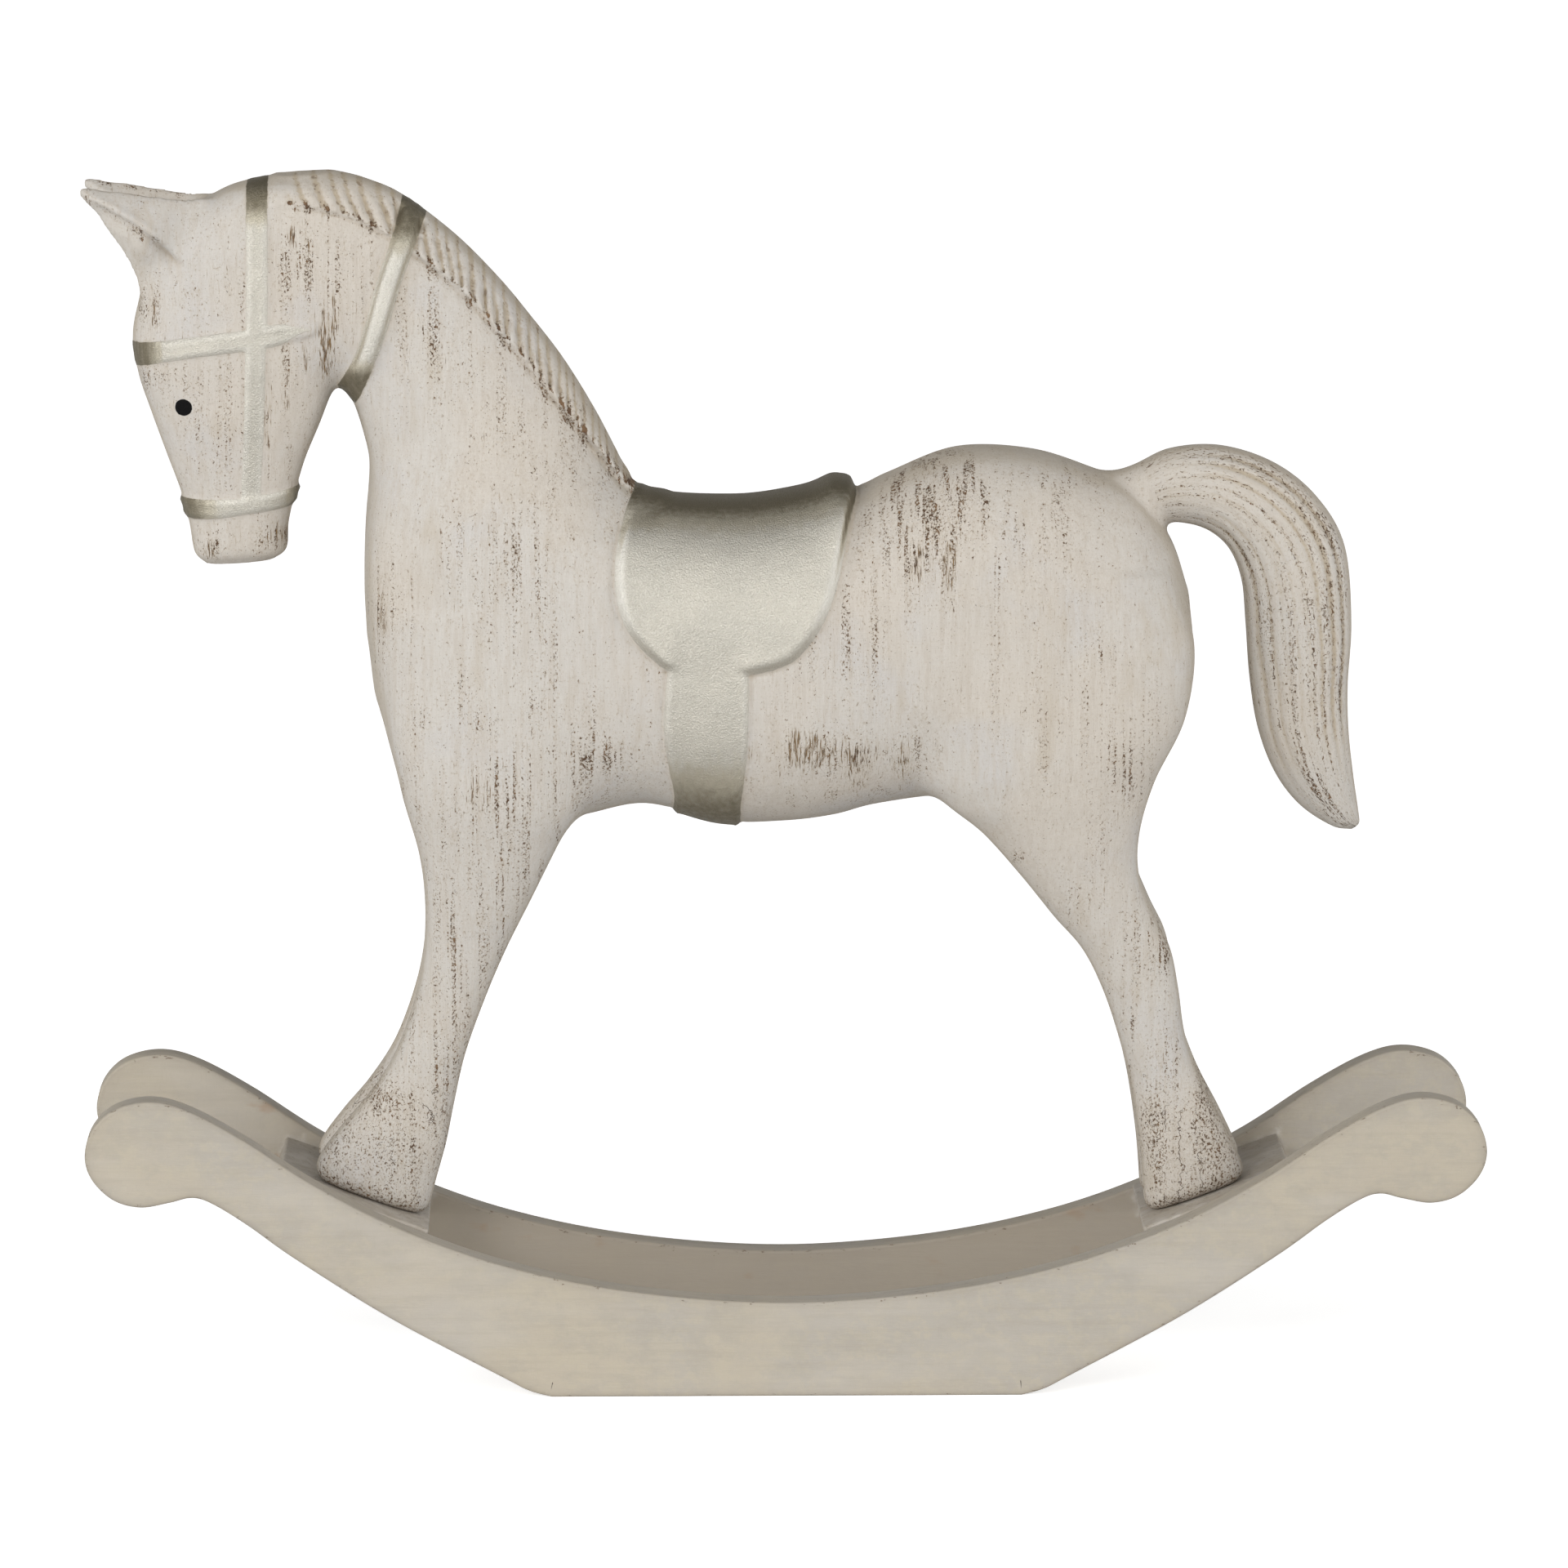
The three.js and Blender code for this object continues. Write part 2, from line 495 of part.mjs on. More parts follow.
const group = new THREE.Group();
for (const [name, [solid, material]] of Object.entries({ ...pieces, ...pins })) {
  const { vertProperties, triVerts } = solid.getMesh();
  const g = new THREE.BufferGeometry();
  g.setAttribute('position', new THREE.BufferAttribute(new Float32Array(vertProperties), 3));
  g.setIndex(new THREE.BufferAttribute(new Uint32Array(triVerts), 1));
  g.computeVertexNormals();
  const mesh = new THREE.Mesh(g, material);
  mesh.name = name;
  group.add(mesh);
}

export default group;
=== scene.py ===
import math
from functools import reduce

import bmesh
import bpy
import numpy as np
import openvdb
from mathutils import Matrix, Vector


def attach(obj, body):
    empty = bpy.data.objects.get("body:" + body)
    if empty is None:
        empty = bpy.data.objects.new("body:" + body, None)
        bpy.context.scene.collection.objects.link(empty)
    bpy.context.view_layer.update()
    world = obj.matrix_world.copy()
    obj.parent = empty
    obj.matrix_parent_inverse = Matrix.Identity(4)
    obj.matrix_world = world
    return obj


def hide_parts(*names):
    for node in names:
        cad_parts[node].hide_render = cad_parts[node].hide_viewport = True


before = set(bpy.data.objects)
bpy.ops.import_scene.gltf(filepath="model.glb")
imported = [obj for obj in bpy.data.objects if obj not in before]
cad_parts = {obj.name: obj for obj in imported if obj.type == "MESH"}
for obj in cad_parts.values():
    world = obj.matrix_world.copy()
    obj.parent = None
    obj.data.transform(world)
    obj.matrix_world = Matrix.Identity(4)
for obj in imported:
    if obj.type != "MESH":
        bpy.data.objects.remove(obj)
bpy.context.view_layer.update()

# Lengths in this script are millimetres until a mesh is made; Blender gets metres.
MM = 0.001
VOXEL = 1.25
BAND = 12.0  # distances are known this far from a surface

BOARD_Y, BOARD_T, FLAT = 60, 15, 101
SLAT_X0, SLAT_X1, SLAT_Z0, SLAT_SLOPE, SLAT_T, SLAT_WIDE = 153.3, 217.0, 70.3, 0.36, 12.0, 89.8
SCREW_Y, SCREW_BACK = 18, 6
# Joints are lines in the side plane: x, z, x, z
NECK_JOINT = (-181, 345, -70, 408)
HEAD_JOINT = (-193, 430, -170, 519)
TAIL_JOINT = (152, 396.5, 166, 371)
LEG_JOINT_Z = 237.5
# The tail hangs clear of the body below TAIL_CLEAR and behind TAIL_X, and ends above TAIL_LOW.
TAIL_CLEAR, TAIL_X, TAIL_LOW = 330, 195, 225
MARGIN = 4  # how far past its joints a block is copied before it is cut

# A rib is one cross section: its two ends in the side plane (x, z, x, z), its half width, and
# the y of its centre where that isn't 0.
TORSO = [
    (-177.4, 342.3, -177.7, 322.7, 10), (-174.4, 377.6, -172.2, 285.2, 29),
    (-161.4, 401.1, -152.4, 253.5, 41), (-132.7, 408.9, -121.6, 243.5, 48),
    (-99.2, 402.9, -89.8, 244.4, 52), (-65.6, 383, -60, 250, 54),
    (-21.1, 378.8, -28.2, 242.3, 55), (13.5, 383.6, -0.4, 242.2, 55),
    (32, 385.4, 21, 244.8, 54.5), (45.2, 391.3, 39.4, 249.5, 54),
    (73.8, 402.2, 71.3, 253.5, 54), (105.5, 401.4, 103.1, 252.5, 53),
    (131.2, 393.5, 130.9, 264.5, 48), (150.1, 384.7, 150.7, 288.2, 40),
    (165.6, 363.6, 167.8, 300, 27), (173.4, 341, 175.4, 313, 12),
]
NECK = [
    (-168, 301, -57, 378, 34), (-175.2, 342.3, -68.5, 388.4, 37),
    (-175.8, 371.8, -83.9, 417.2, 34.5), (-177, 395.3, -97.2, 439, 31),
    (-180.2, 410.9, -110.8, 457, 28.5), (-184.9, 424.6, -125.3, 474.6, 26.5),
    (-190.8, 431.5, -144.6, 493.8, 25.5), (-199.6, 435.4, -168.6, 511.2, 24.5),
    (-211.4, 438.3, -189.6, 518.3, 23), (-221.2, 444.2, -205.2, 517.8, 17),
]
HEAD = [
    (-218.6, 520.4, -193, 519, 9), (-238.3, 515.2, -181.3, 513, 19),
    (-258.1, 502.2, -173.5, 501.6, 23.5), (-271, 488.1, -171.7, 483, 25.5),
    (-275.1, 469.6, -177.8, 457.7, 26.5), (-278.3, 453.1, -187.8, 439.2, 27),
    (-276.1, 436.1, -193.8, 426.6, 26), (-271, 420.3, -198.8, 413.9, 24.5),
    (-264.2, 401, -205.3, 398.3, 21.5), (-258.3, 384.7, -209.9, 382.6, 19),
    (-254.9, 371, -212.5, 370.9, 17.5), (-252.8, 358.8, -213.4, 360.2, 15.5),
    (-247.8, 353.7, -219, 355.6, 10),
]
EAR = [
    (-270.9, 470.4, -248.5, 510, 7, 10.5), (-277.3, 481.1, -260, 512, 11.5, 15),
    (-281.6, 489.1, -270.5, 513.4, 10.5, 16.6), (-287.1, 497.2, -280, 515, 8.8, 17.8),
    (-292.5, 504.9, -287.9, 515.7, 6.6, 18.2), (-296.9, 510.9, -294.1, 516.8, 4.2, 18.6),
    (-299.6, 514.7, -298.2, 517.2, 1.9, 18.8),
]
FRONT_LEG = [
    (-165.5, 333.7, -91.4, 333.5, 20, 25), (-169.2, 291.3, -83.6, 289.1, 24, 27),
    (-164.5, 259.6, -86.5, 256.5, 24, 28), (-157.1, 232.2, -97.2, 235.6, 20.5, 26.5),
    (-154.6, 210.8, -109.3, 210.8, 17, 24.8), (-155.3, 189.4, -119.8, 189.4, 14.8, 22.6),
    (-159, 168, -128.8, 168, 13.4, 21), (-168, 142.9, -137.7, 142.9, 12.6, 20),
    (-179.3, 125, -142.6, 121.4, 12.6, 19.2), (-191.4, 110.7, -146.2, 103.5, 13, 18.6),
    (-201, 97.3, -150.4, 88.1, 13.2, 18.2), (-204.4, 84.3, -154.9, 70, 12.6, 18),
    (-204.5, 74.2, -155.5, 62, 12.4, 18),
]
HIND_LEG = [
    (73.3, 349.8, 161.7, 349.6, 20, 25), (63.5, 310.4, 174.2, 321.5, 25, 27),
    (59.6, 270.5, 171.2, 290.3, 26, 28), (68, 254, 158.3, 262.6, 23.5, 27.6),
    (84.6, 239.8, 151.9, 239.8, 20, 26.4), (101.2, 220.8, 151.9, 220.9, 17, 24.8),
    (115.4, 202.8, 158.6, 203, 15.2, 23), (127.6, 188.5, 165.7, 188, 14.2, 21.8),
    (136.6, 170.6, 169.3, 170.5, 13.2, 20.8), (143.8, 149.1, 172.4, 150, 12.6, 19.8),
    (149.2, 127.6, 179.5, 130, 12.6, 19), (153.1, 102.4, 189.3, 110.9, 13, 18.4),
    (154.8, 82.9, 196.9, 94.8, 13, 18), (155.5, 66.8, 201.6, 82.7, 12.6, 18),
    (155.5, 58.7, 203.6, 74.7, 12.4, 18),
]
TAIL = [
    (132.3, 388.6, 144.3, 361.1, 13), (150, 395, 162.1, 369.4, 14.5),
    (165.8, 402.1, 172, 369.9, 17), (187.6, 403.2, 182.5, 366.5, 19),
    (210.6, 395.6, 191.3, 358.4, 20), (228.8, 380.9, 196.6, 344.9, 20.5),
    (240.8, 359.9, 198.4, 327.1, 21), (244, 327.4, 200.3, 302.9, 20.5),
    (242.7, 299.8, 204, 280.8, 19), (243.2, 280, 211.2, 261.8, 16.5),
    (245.3, 261.2, 221.9, 247.4, 12.5), (247.6, 245.9, 236.2, 237.7, 7),
    (248.6, 238.9, 245.3, 236, 2.2),
]

# Outlines of the carved and painted relief in the side plane
SADDLE = [
    (-60, 400), (-64, 387.5), (-68.4, 380.5), (-72.4, 365.6), (-73.1, 352.8), (-71.1, 338),
    (-64.2, 326), (-49.3, 312.4), (-33, 310.6), (-16, 312.4), (-1.5, 315.9), (5.8, 320.4),
    (14.4, 331.8), (20, 344.3), (22.9, 355.7), (25.8, 368.6), (28.4, 379), (31.9, 388),
    (33, 402), (10, 412), (-40, 412),
]
GIRTH = [
    (-48, 345), (-51.3, 306), (-52.5, 289.5), (-50.4, 272.6), (-47.2, 257.9), (-48.2, 250),
    (-49, 225), (-18.6, 225), (-19.3, 248.9), (-19.2, 256), (-17, 273), (-16, 295.2),
    (-16.1, 345),
]
MANE = [
    (-219, 545), (-219, 512), (-219, 508.6), (-214, 508.6), (-202.9, 508.7), (-186.4, 504.8),
    (-170.8, 497.8), (-154.2, 486), (-145.6, 479.3), (-133.5, 468.4), (-122.5, 455.6),
    (-110.4, 441.9), (-101.4, 430.1), (-90.3, 416.2), (-79.2, 402.5), (-70, 390), (-62, 384),
    (-56, 420), (-100, 480), (-150, 540),
]
HEAD_STRAP = [
    (-229.1, 540), (-228.8, 493.5), (-228.9, 465.8), (-229.6, 446.7), (-230.3, 419.4),
    (-231.8, 389.9), (-232.2, 379), (-223.9, 379), (-223.5, 389.7), (-221.7, 419.2),
    (-220.9, 446.5), (-219.8, 465.6), (-219.6, 493.3), (-219.9, 540),
]
BROW_BAND = [
    (-290, 450), (-277.2, 450.4), (-268.4, 451.4), (-256.4, 453.3), (-241.4, 455.6),
    (-229.2, 457.1), (-220.2, 459), (-208.1, 460.7), (-198, 461.2), (-198, 454.8),
    (-208.1, 452.3), (-220.3, 449.3), (-229.9, 448.1), (-244.9, 446.3), (-259.9, 443.9),
    (-273.2, 440.6), (-290, 437),
]
NOSE_BAND = [
    (-266, 383.4), (-256.7, 383.4), (-247.3, 383.2), (-231.9, 383.8), (-219.4, 385.9),
    (-203, 389), (-203, 380.6), (-219.5, 378.4), (-232, 376.7), (-242.5, 374.8), (-253.5, 374.3),
    (-266, 374),
]
THROAT_STRAP = [
    (-158, 530), (-162.3, 511.1), (-166.6, 494.5), (-172.2, 479.9), (-177.2, 461.5),
    (-181.8, 446), (-187.3, 436), (-191, 430), (-184.5, 423), (-181.1, 428.8), (-173.9, 445.5),
    (-168.5, 461.3), (-163.3, 479), (-157.3, 494.1), (-153, 506), (-147, 520),
]
CREST = [
    (-216, 523), (-189, 521), (-160, 510), (-129.5, 483), (-102.5, 452), (-82.5, 419), (-69, 394),
]
EAR_HOLLOW = [
    (-304, 518.5), (-298.6, 515.3), (-287, 509.3), (-276, 503.1), (-269.1, 498), (-254.7, 483.9),
    (-258, 470), (-290, 470), (-312, 500),
]
# The worn edges of an ear: both ends, and how wide the wear is
EAR_EDGES = [
    ((-296, 22, 513), (-257, 27, 487), 2.8), ((-298, 18, 517), (-256, 13, 511.5), 1.8),
]
EYE = (-256.1, 423.6, 3.7)  # its middle and its radius
BOARD = [
    (FLAT, 0), (110.5, 2.7), (121.5, 8.4), (169.5, 34.5), (210, 60.5), (231, 75.8), (246, 85.2),
    (254.5, 87.7), (264, 85.6), (276.4, 83.6), (288, 86.8), (297, 95.6), (300, 106),
    (296.6, 117.6), (287, 126.4), (271.5, 129.6), (255, 125.2), (232, 112.5), (202, 92.8),
    (166, 74), (120, 57.2), (65, 45.8), (0, 41),
]


# ---------------- curves and fields


def spline(rows, steps):
    """Catmull-Rom curve through the rows, with the given steps between two of them."""
    r = np.array(rows, float)
    p = np.vstack([2 * r[0] - r[1], r, 2 * r[-1] - r[-2]])
    t = (np.arange(steps) / steps)[:, None]
    out = [
        0.5 * (2 * b + (c - a) * t + (2 * a - 5 * b + 4 * c - d) * t**2 + (3 * b - a - 3 * c + d) * t**3)
        for a, b, c, d in zip(p, p[1:], p[2:], p[3:])
    ]
    return np.vstack([*out, r[-1]])


def rounded(outline, rounds=2):
    """Corner cutting, so that a carved outline has no hard corners."""
    p = np.array(outline, float)
    for _ in range(rounds):
        q = np.roll(p, -1, axis=0)
        p = np.stack([0.75 * p + 0.25 * q, 0.25 * p + 0.75 * q], 1).reshape(-1, 2)
    return p


def polygon_distance(x, z, outline):
    """Signed distance to a closed outline, negative inside."""
    best = np.full(np.broadcast(x, z).shape, 1e9)
    inside = np.zeros(best.shape, bool)
    for a, b in zip(outline, np.roll(outline, -1, axis=0)):
        e = b - a
        t = np.clip(((x - a[0]) * e[0] + (z - a[1]) * e[1]) / max(e @ e, 1e-9), 0, 1)
        best = np.minimum(best, np.hypot(x - a[0] - t * e[0], z - a[1] - t * e[1]))
        slope = e[0] / (e[1] or 1e-9)
        inside ^= ((a[1] > z) != (b[1] > z)) & (x < slope * (z - a[1]) + a[0])
    return np.where(inside, -best, best)


def segment_distance(co, a, b):
    e = np.subtract(b, a).astype(float)
    t = np.clip((co - a) @ e / (e @ e), 0, 1)
    return np.linalg.norm(co - a - t[:, None] * e, axis=1)


def step(x, lo, hi):
    """Smooth step from 0 at lo to 1 at hi."""
    t = np.clip((x - lo) / (hi - lo), 0, 1)
    return t * t * (3 - 2 * t)


def bump(x, centre, width):
    return np.exp(-(((x - centre) / width) ** 2))


def smin(a, b, k):
    """The lesser of two distances, rounded over k where they meet."""
    h = np.maximum(k - np.abs(a - b), 0) / k
    return np.minimum(a, b) - h * h * k * 0.25


def smax(a, b, k):
    return -smin(-a, -b, k)


def ring_quads(count, n):
    """Faces between rings of n points each."""
    j = np.arange(n)
    j2 = (j + 1) % n
    quads = [(k * n + j, k * n + j2, (k + 1) * n + j2, (k + 1) * n + j) for k in range(count - 1)]
    return np.vstack([np.stack(q, 1) for q in quads])


def loft(ribs, power, side=1, n=84):
    """A closed form through the ribs. A power of 2 makes each section an ellipse."""
    s = spline([(*rib, 0)[:6] for rib in ribs], 8)
    m = len(s)
    j = np.arange(n)
    t = j * 2 * np.pi / n
    u, w = (np.sign(v) * np.abs(v) ** (2 / power) for v in (np.cos(t), np.sin(t)))
    ax, az, bx, bz, wide, y = s.T[:, :, None]
    pts = np.stack([
        (ax + bx) / 2 - (bx - ax) / 2 * u, side * y + w * wide, (az + bz) / 2 - (bz - az) / 2 * u,
    ], 2)
    j2 = (j + 1) % n
    last = (m - 1) * n
    tris = np.vstack([
        np.stack([np.full(n, m * n), j, j2], 1),
        np.stack([np.full(n, m * n + 1), last + j2, last + j], 1),
    ])
    return np.vstack([*pts, pts[0].mean(0), pts[-1].mean(0)]), tris, ring_quads(m, n)


# The block of space, in voxels, that holds the whole horse
LO = np.floor(np.array([-316, -68, 56]) / VOXEL).astype(int)
HI = np.ceil(np.array([262, 68, 540]) / VOXEL).astype(int)
SHAPE = tuple(HI - LO)
GX, GY, GZ = np.ix_(*((first + np.arange(count)) * VOXEL for first, count in zip(LO, SHAPE)))


def field(form):
    """Signed distance to a form at every voxel."""
    pts, tris, quads = form
    grid = openvdb.FloatGrid.createLevelSetFromPolygons(
        pts.astype(np.float32), triangles=tris.astype(np.uint32), quads=quads.astype(np.uint32),
        transform=openvdb.createLinearTransform(voxelSize=VOXEL), halfWidth=BAND / VOXEL,
    )
    out = np.full(SHAPE, BAND, np.float32)
    grid.copyToArray(out, ijk=tuple(int(v) for v in LO))
    return out


CRESTLINE = spline(CREST, 24)
GROOVES = 29
TAIL_LINE = spline(TAIL, 14)


def nearest(rows):
    """Of rows that start with a distance, the other values of the nearest row at each point."""
    best, *values = next(rows)
    for distance, *others in rows:
        hit = distance < best
        best = np.where(hit, distance, best)
        values = [np.where(hit, a, b) for a, b in zip(others, values)]
    return values


def mane_coordinate(x, z):
    """How far along the crest a point lies when it is followed down a groove, in grooves."""
    d = np.hypot(np.diff(CRESTLINE[:, 0]), np.diff(CRESTLINE[:, 1]))
    along = np.concatenate([[0], np.cumsum(d)]) / d.sum()

    def rows():
        for (px, pz), t in zip(CRESTLINE, along):
            lean = -1.05 - 0.45 * min(1.0, t / 0.45)
            dx, dz = math.cos(lean), math.sin(lean)
            off = (x - px) * -dz + (z - pz) * dx
            ahead = np.abs((x - px) * dx + (z - pz) * dz - 12)
            yield np.abs(off) + np.maximum(ahead - 60, 0), t

    return nearest(rows())[0] * GROOVES


def crest_distance(x, z):
    return reduce(np.minimum, (np.hypot(x - px, z - pz) for px, pz in CRESTLINE))


def tail_lengths():
    """Length along the middle of the tail at each section of TAIL_LINE."""
    middle = (TAIL_LINE[:, 0:2] + TAIL_LINE[:, 2:4]) / 2
    return np.concatenate([[0], np.cumsum(np.hypot(*np.diff(middle, axis=0).T))])


def tail_coordinate(x, z):
    """Length along the tail in mm, and 0 to 1 from its outer edge to its inner edge."""
    def rows():
        for (ax, az, bx, bz), t in zip(TAIL_LINE[:, :4], tail_lengths()):
            ex, ez = bx - ax, bz - az
            wide = math.hypot(ex, ez)
            v = ((x - ax) * ex + (z - az) * ez) / wide**2
            off = np.abs((x - ax) * ez - (z - az) * ex) / wide
            yield off + np.maximum(np.abs(v - 0.5) - 0.7, 0) * 200, t, v

    return nearest(rows())


# Grooves of the tail: place from the outer edge to the inner edge, half width, depth in mm
TAIL_GROOVES = [
    (0.10, 0.022, 0.9), (0.20, 0.028, 1.1), (0.32, 0.024, 0.9), (0.43, 0.02, 0.55),
    (0.54, 0.022, 0.6), (0.65, 0.02, 0.5), (0.76, 0.024, 0.7), (0.88, 0.026, 0.8),
]


def tail_groove(x, z):
    """Depth of the tail's grooves."""
    length, across = tail_coordinate(x, z)
    depth = np.zeros(length.shape)
    wander = 0.012 * np.sin(length * 0.045) + 0.006 * np.sin(length * 0.13 + 2)
    for place, wide, deep in TAIL_GROOVES:
        depth = np.maximum(depth, deep * bump(across + wander * (0.5 + place), place, wide))
    return depth * step(length, 26, 60) * step(tail_lengths()[-1] - length, 4, 60)


def relief_maps(x, z):
    """Height of the carved relief over the plain form, and the distances that colour follows."""
    saddle, girth, mane = (polygon_distance(x, z, rounded(p)) for p in (SADDLE, GIRTH, MANE))
    head, brow, nose, throat = (
        polygon_distance(x, z, rounded(p, 1)) for p in (HEAD_STRAP, BROW_BAND, NOSE_BAND, THROAT_STRAP)
    )
    throat = throat - 0.7
    straps = np.minimum(np.minimum(head, brow), nose)
    along = mane_coordinate(x, z)
    wave = along + 0.12 * np.sin(along * 1.7) + 0.05 * np.sin(z * 0.31)
    groove = bump((wave + 0.5) % 1.0 - 0.5, 0, 0.21) * step(-mane, 0.2, 2.4) * step(x, -215, -207)
    # a strap is a low rounded band, and the head strap runs out flush below the brow band
    band = 1.45 * step(-straps, -0.6, 1.8) - 0.35 * step(-straps, 2.0, 4.2)
    band = band * (1 - 0.75 * step(-z, -440, -404) * (head < 1.2) * (nose > -0.5) * (brow > -0.5))
    # the bridle sinks flush where it goes over the poll and the brow
    band = band * (1 - 0.75 * step(z, 504, 516)) * (1 - 0.75 * step(-x, 262, 273))
    # the seat is padded at its rim, and runs down into the girth without an edge
    under = step(-girth, 0.0, 6.0)
    seat = 2.5 * step(-saddle, -0.6, 3.6) + 0.35 * bump(saddle, -4.6, 2.4)
    seat = seat * (1 - under) + under * (1.2 + 1.3 * step(-saddle, -2.0, 26.0))
    seat = seat * (1 - 0.6 * step(-x, 50, 60) * step(z, 370, 385))
    h = np.maximum(seat, 1.2 * step(-girth, -0.4, 1.9) + 0.25 * bump(girth, -1.6, 1.1))
    h = np.maximum(h, band)
    crest = crest_distance(x, z)
    low = 1 - 0.3 * step(-x, 180, 198) * (1 - step(crest, 1.0, 9.0))
    lock = (2.3 + 0.6 * step(x, -185, -165)) * low * step(-mane, -0.5, 2.0)
    lock = lock * (0.4 + 0.6 * step(x, -222, -194)) * (0.7 + 0.3 * step(z, 388, 402))
    h = np.maximum(h, lock * (1 - 0.66 * groove * step(crest, 1.0, 8.0)))
    ridge = 2.8 * step(-throat, -0.5, 2.8) + 0.3 * bump(throat, -4.0, 1.6)
    ridge = ridge * (0.25 + 0.75 * step(z, 428, 442)) * low
    beside = np.maximum(step(throat, 0, 1.5), 1 - step(crest, 1.0, 7.0))
    h = np.where(throat < 3, np.maximum(h * beside, ridge), h)
    # the front of each ear is hollowed below a ridge that runs from its tip into the cheek
    ear = polygon_distance(x, z, np.array(EAR_HOLLOW, float))
    dish = step(-ear, -0.4, 1.6) * (1 - 0.8 * step(-ear, 1.6, 9.0)) - 0.2 * bump(ear, 1.2, 1.4)
    h = h - 2.6 * dish * step(-x, 251, 262) * step(z, 474, 486) * (1 - step(-x, 286, 298))
    # the cantle swells at the back of the seat, and a thin cut follows the edges of the relief
    h = h + 2.4 * bump(x, 21.5, 8.0) * step(z, 352, 384) * step(-saddle, -0.5, 3.0)
    h = h - 0.55 * bump(saddle, 1.0, 0.9) * (girth > 0)
    h = h - 0.35 * bump(girth, 0.7, 0.7) * (saddle > 0)
    h = h - 0.5 * bump(mane, 0.9, 0.8) * (throat > 1) * (straps > 1)
    tack = np.minimum(np.minimum(saddle, girth), np.minimum(straps, throat))
    return h, tack, mane, groove, saddle, girth, straps, throat, brow


def softened(d, cells):
    """Average over a cube of cells to either side, made of three running sums."""
    wide = 2 * cells + 1
    for axis in range(3):
        total = np.moveaxis(np.cumsum(d, axis=axis, dtype=np.float32), axis, 0)
        out = np.moveaxis(d.copy(), axis, 0)
        out[cells + 1 : -cells] = (total[wide:] - total[:-wide]) / wide
        d = np.moveaxis(out, 0, axis)
    return d


def sampled(d, pts):
    """Values of a field at points, from the eight cells round each."""
    g = pts / VOXEL - LO
    i = np.clip(np.floor(g).astype(int), 0, np.array(SHAPE) - 2)
    f = g - i
    out = np.zeros(len(pts))
    for corner in np.ndindex(2, 2, 2):
        out += np.where(corner, f, 1 - f).prod(axis=1) * d[tuple((i + corner).T)]
    return out


def slat_top(x):
    return SLAT_Z0 + SLAT_SLOPE * (np.abs(x) - SLAT_X0)


def carve():
    """The whole horse as one carved form, meshed, and how hollow it is at each point."""
    d = smin(field(loft(TORSO, 2.5)), field(loft(NECK, 2.4)), 15.0)
    d = smin(d, field(loft(HEAD, 2.5)), 6.0)
    for forms, power in (((FRONT_LEG, HIND_LEG), 2.5), ((EAR,), 1.2)):
        pairs = [field(loft(ribs, power, side)) for ribs in forms for side in (1, -1)]
        d = smin(d, reduce(np.minimum, pairs), 9.0)
    d = smin(d, field(loft(TAIL, 2.2, n=144)), 5.0)
    x2, z2 = np.broadcast_arrays(GX[:, :, 0], GZ[:, 0, :])
    h = relief_maps(x2, z2)[0]
    behind = (x2 > 160) & (z2 > TAIL_LOW) & ((x2 > TAIL_X) | (z2 > 350))
    h[behind] -= tail_groove(x2[behind], z2[behind])
    d = d - h[:, None, :].astype(np.float32)
    cut = (slat_top(GX) - GZ) / math.hypot(1, SLAT_SLOPE)
    d = np.where(GZ < 140, smax(d, cut.astype(np.float32), 8.0), d)
    d = np.clip(d, -BAND, BAND).astype(np.float32)
    grid = openvdb.FloatGrid(BAND)
    grid.copyFromArray(d, ijk=tuple(int(v) for v in LO))
    grid.transform = openvdb.createLinearTransform(voxelSize=VOXEL)
    pts, _, quads = grid.convertToPolygons(isovalue=0.0, adaptivity=0.0)
    pts = np.array(pts, float)
    near = max(1, round(1.6 / VOXEL))
    hollow = [-sampled(softened(d, cells), pts) for cells in (near, near * 3)]
    return pts, np.array(quads), hollow


# ---------------- making meshes


def linked(name, data):
    o = bpy.data.objects.new(name, data)
    bpy.context.scene.collection.objects.link(o)
    return o


def mesh_object(name, verts, faces):
    me = bpy.data.meshes.new(name)
    me.from_pydata(np.multiply(verts, MM).tolist(), [], [list(f) for f in faces])
    me.validate()
    me.shade_smooth()
    me.update()
    return linked(name, me)


def relaxed(verts, faces, rounds):
    """Evens out the vertices without shrinking the form (Taubin)."""
    n = len(verts)
    edges = np.vstack([faces[:, [k, (k + 1) % 4]] for k in range(4)])
    start, end = np.vstack([edges, edges[:, ::-1]]).T
    count = np.bincount(start, minlength=n)[:, None]
    for k in range(rounds * 2):
        total = np.stack([np.bincount(start, weights=verts[end, c], minlength=n) for c in range(3)], 1)
        verts = verts + (0.5 if k % 2 == 0 else -0.52) * (total / count - verts)
    return verts


def give(me, name, values):
    values = np.asarray(values, np.float32)
    kind, key = ("FLOAT_VECTOR", "vector") if values.ndim == 2 else ("FLOAT", "value")
    me.attributes.new(name, kind, "POINT").data.foreach_set(key, values.ravel())


def read(items, key):
    out = np.empty((len(items), 3), np.float32)
    items.foreach_get(key, out.ravel())
    return out


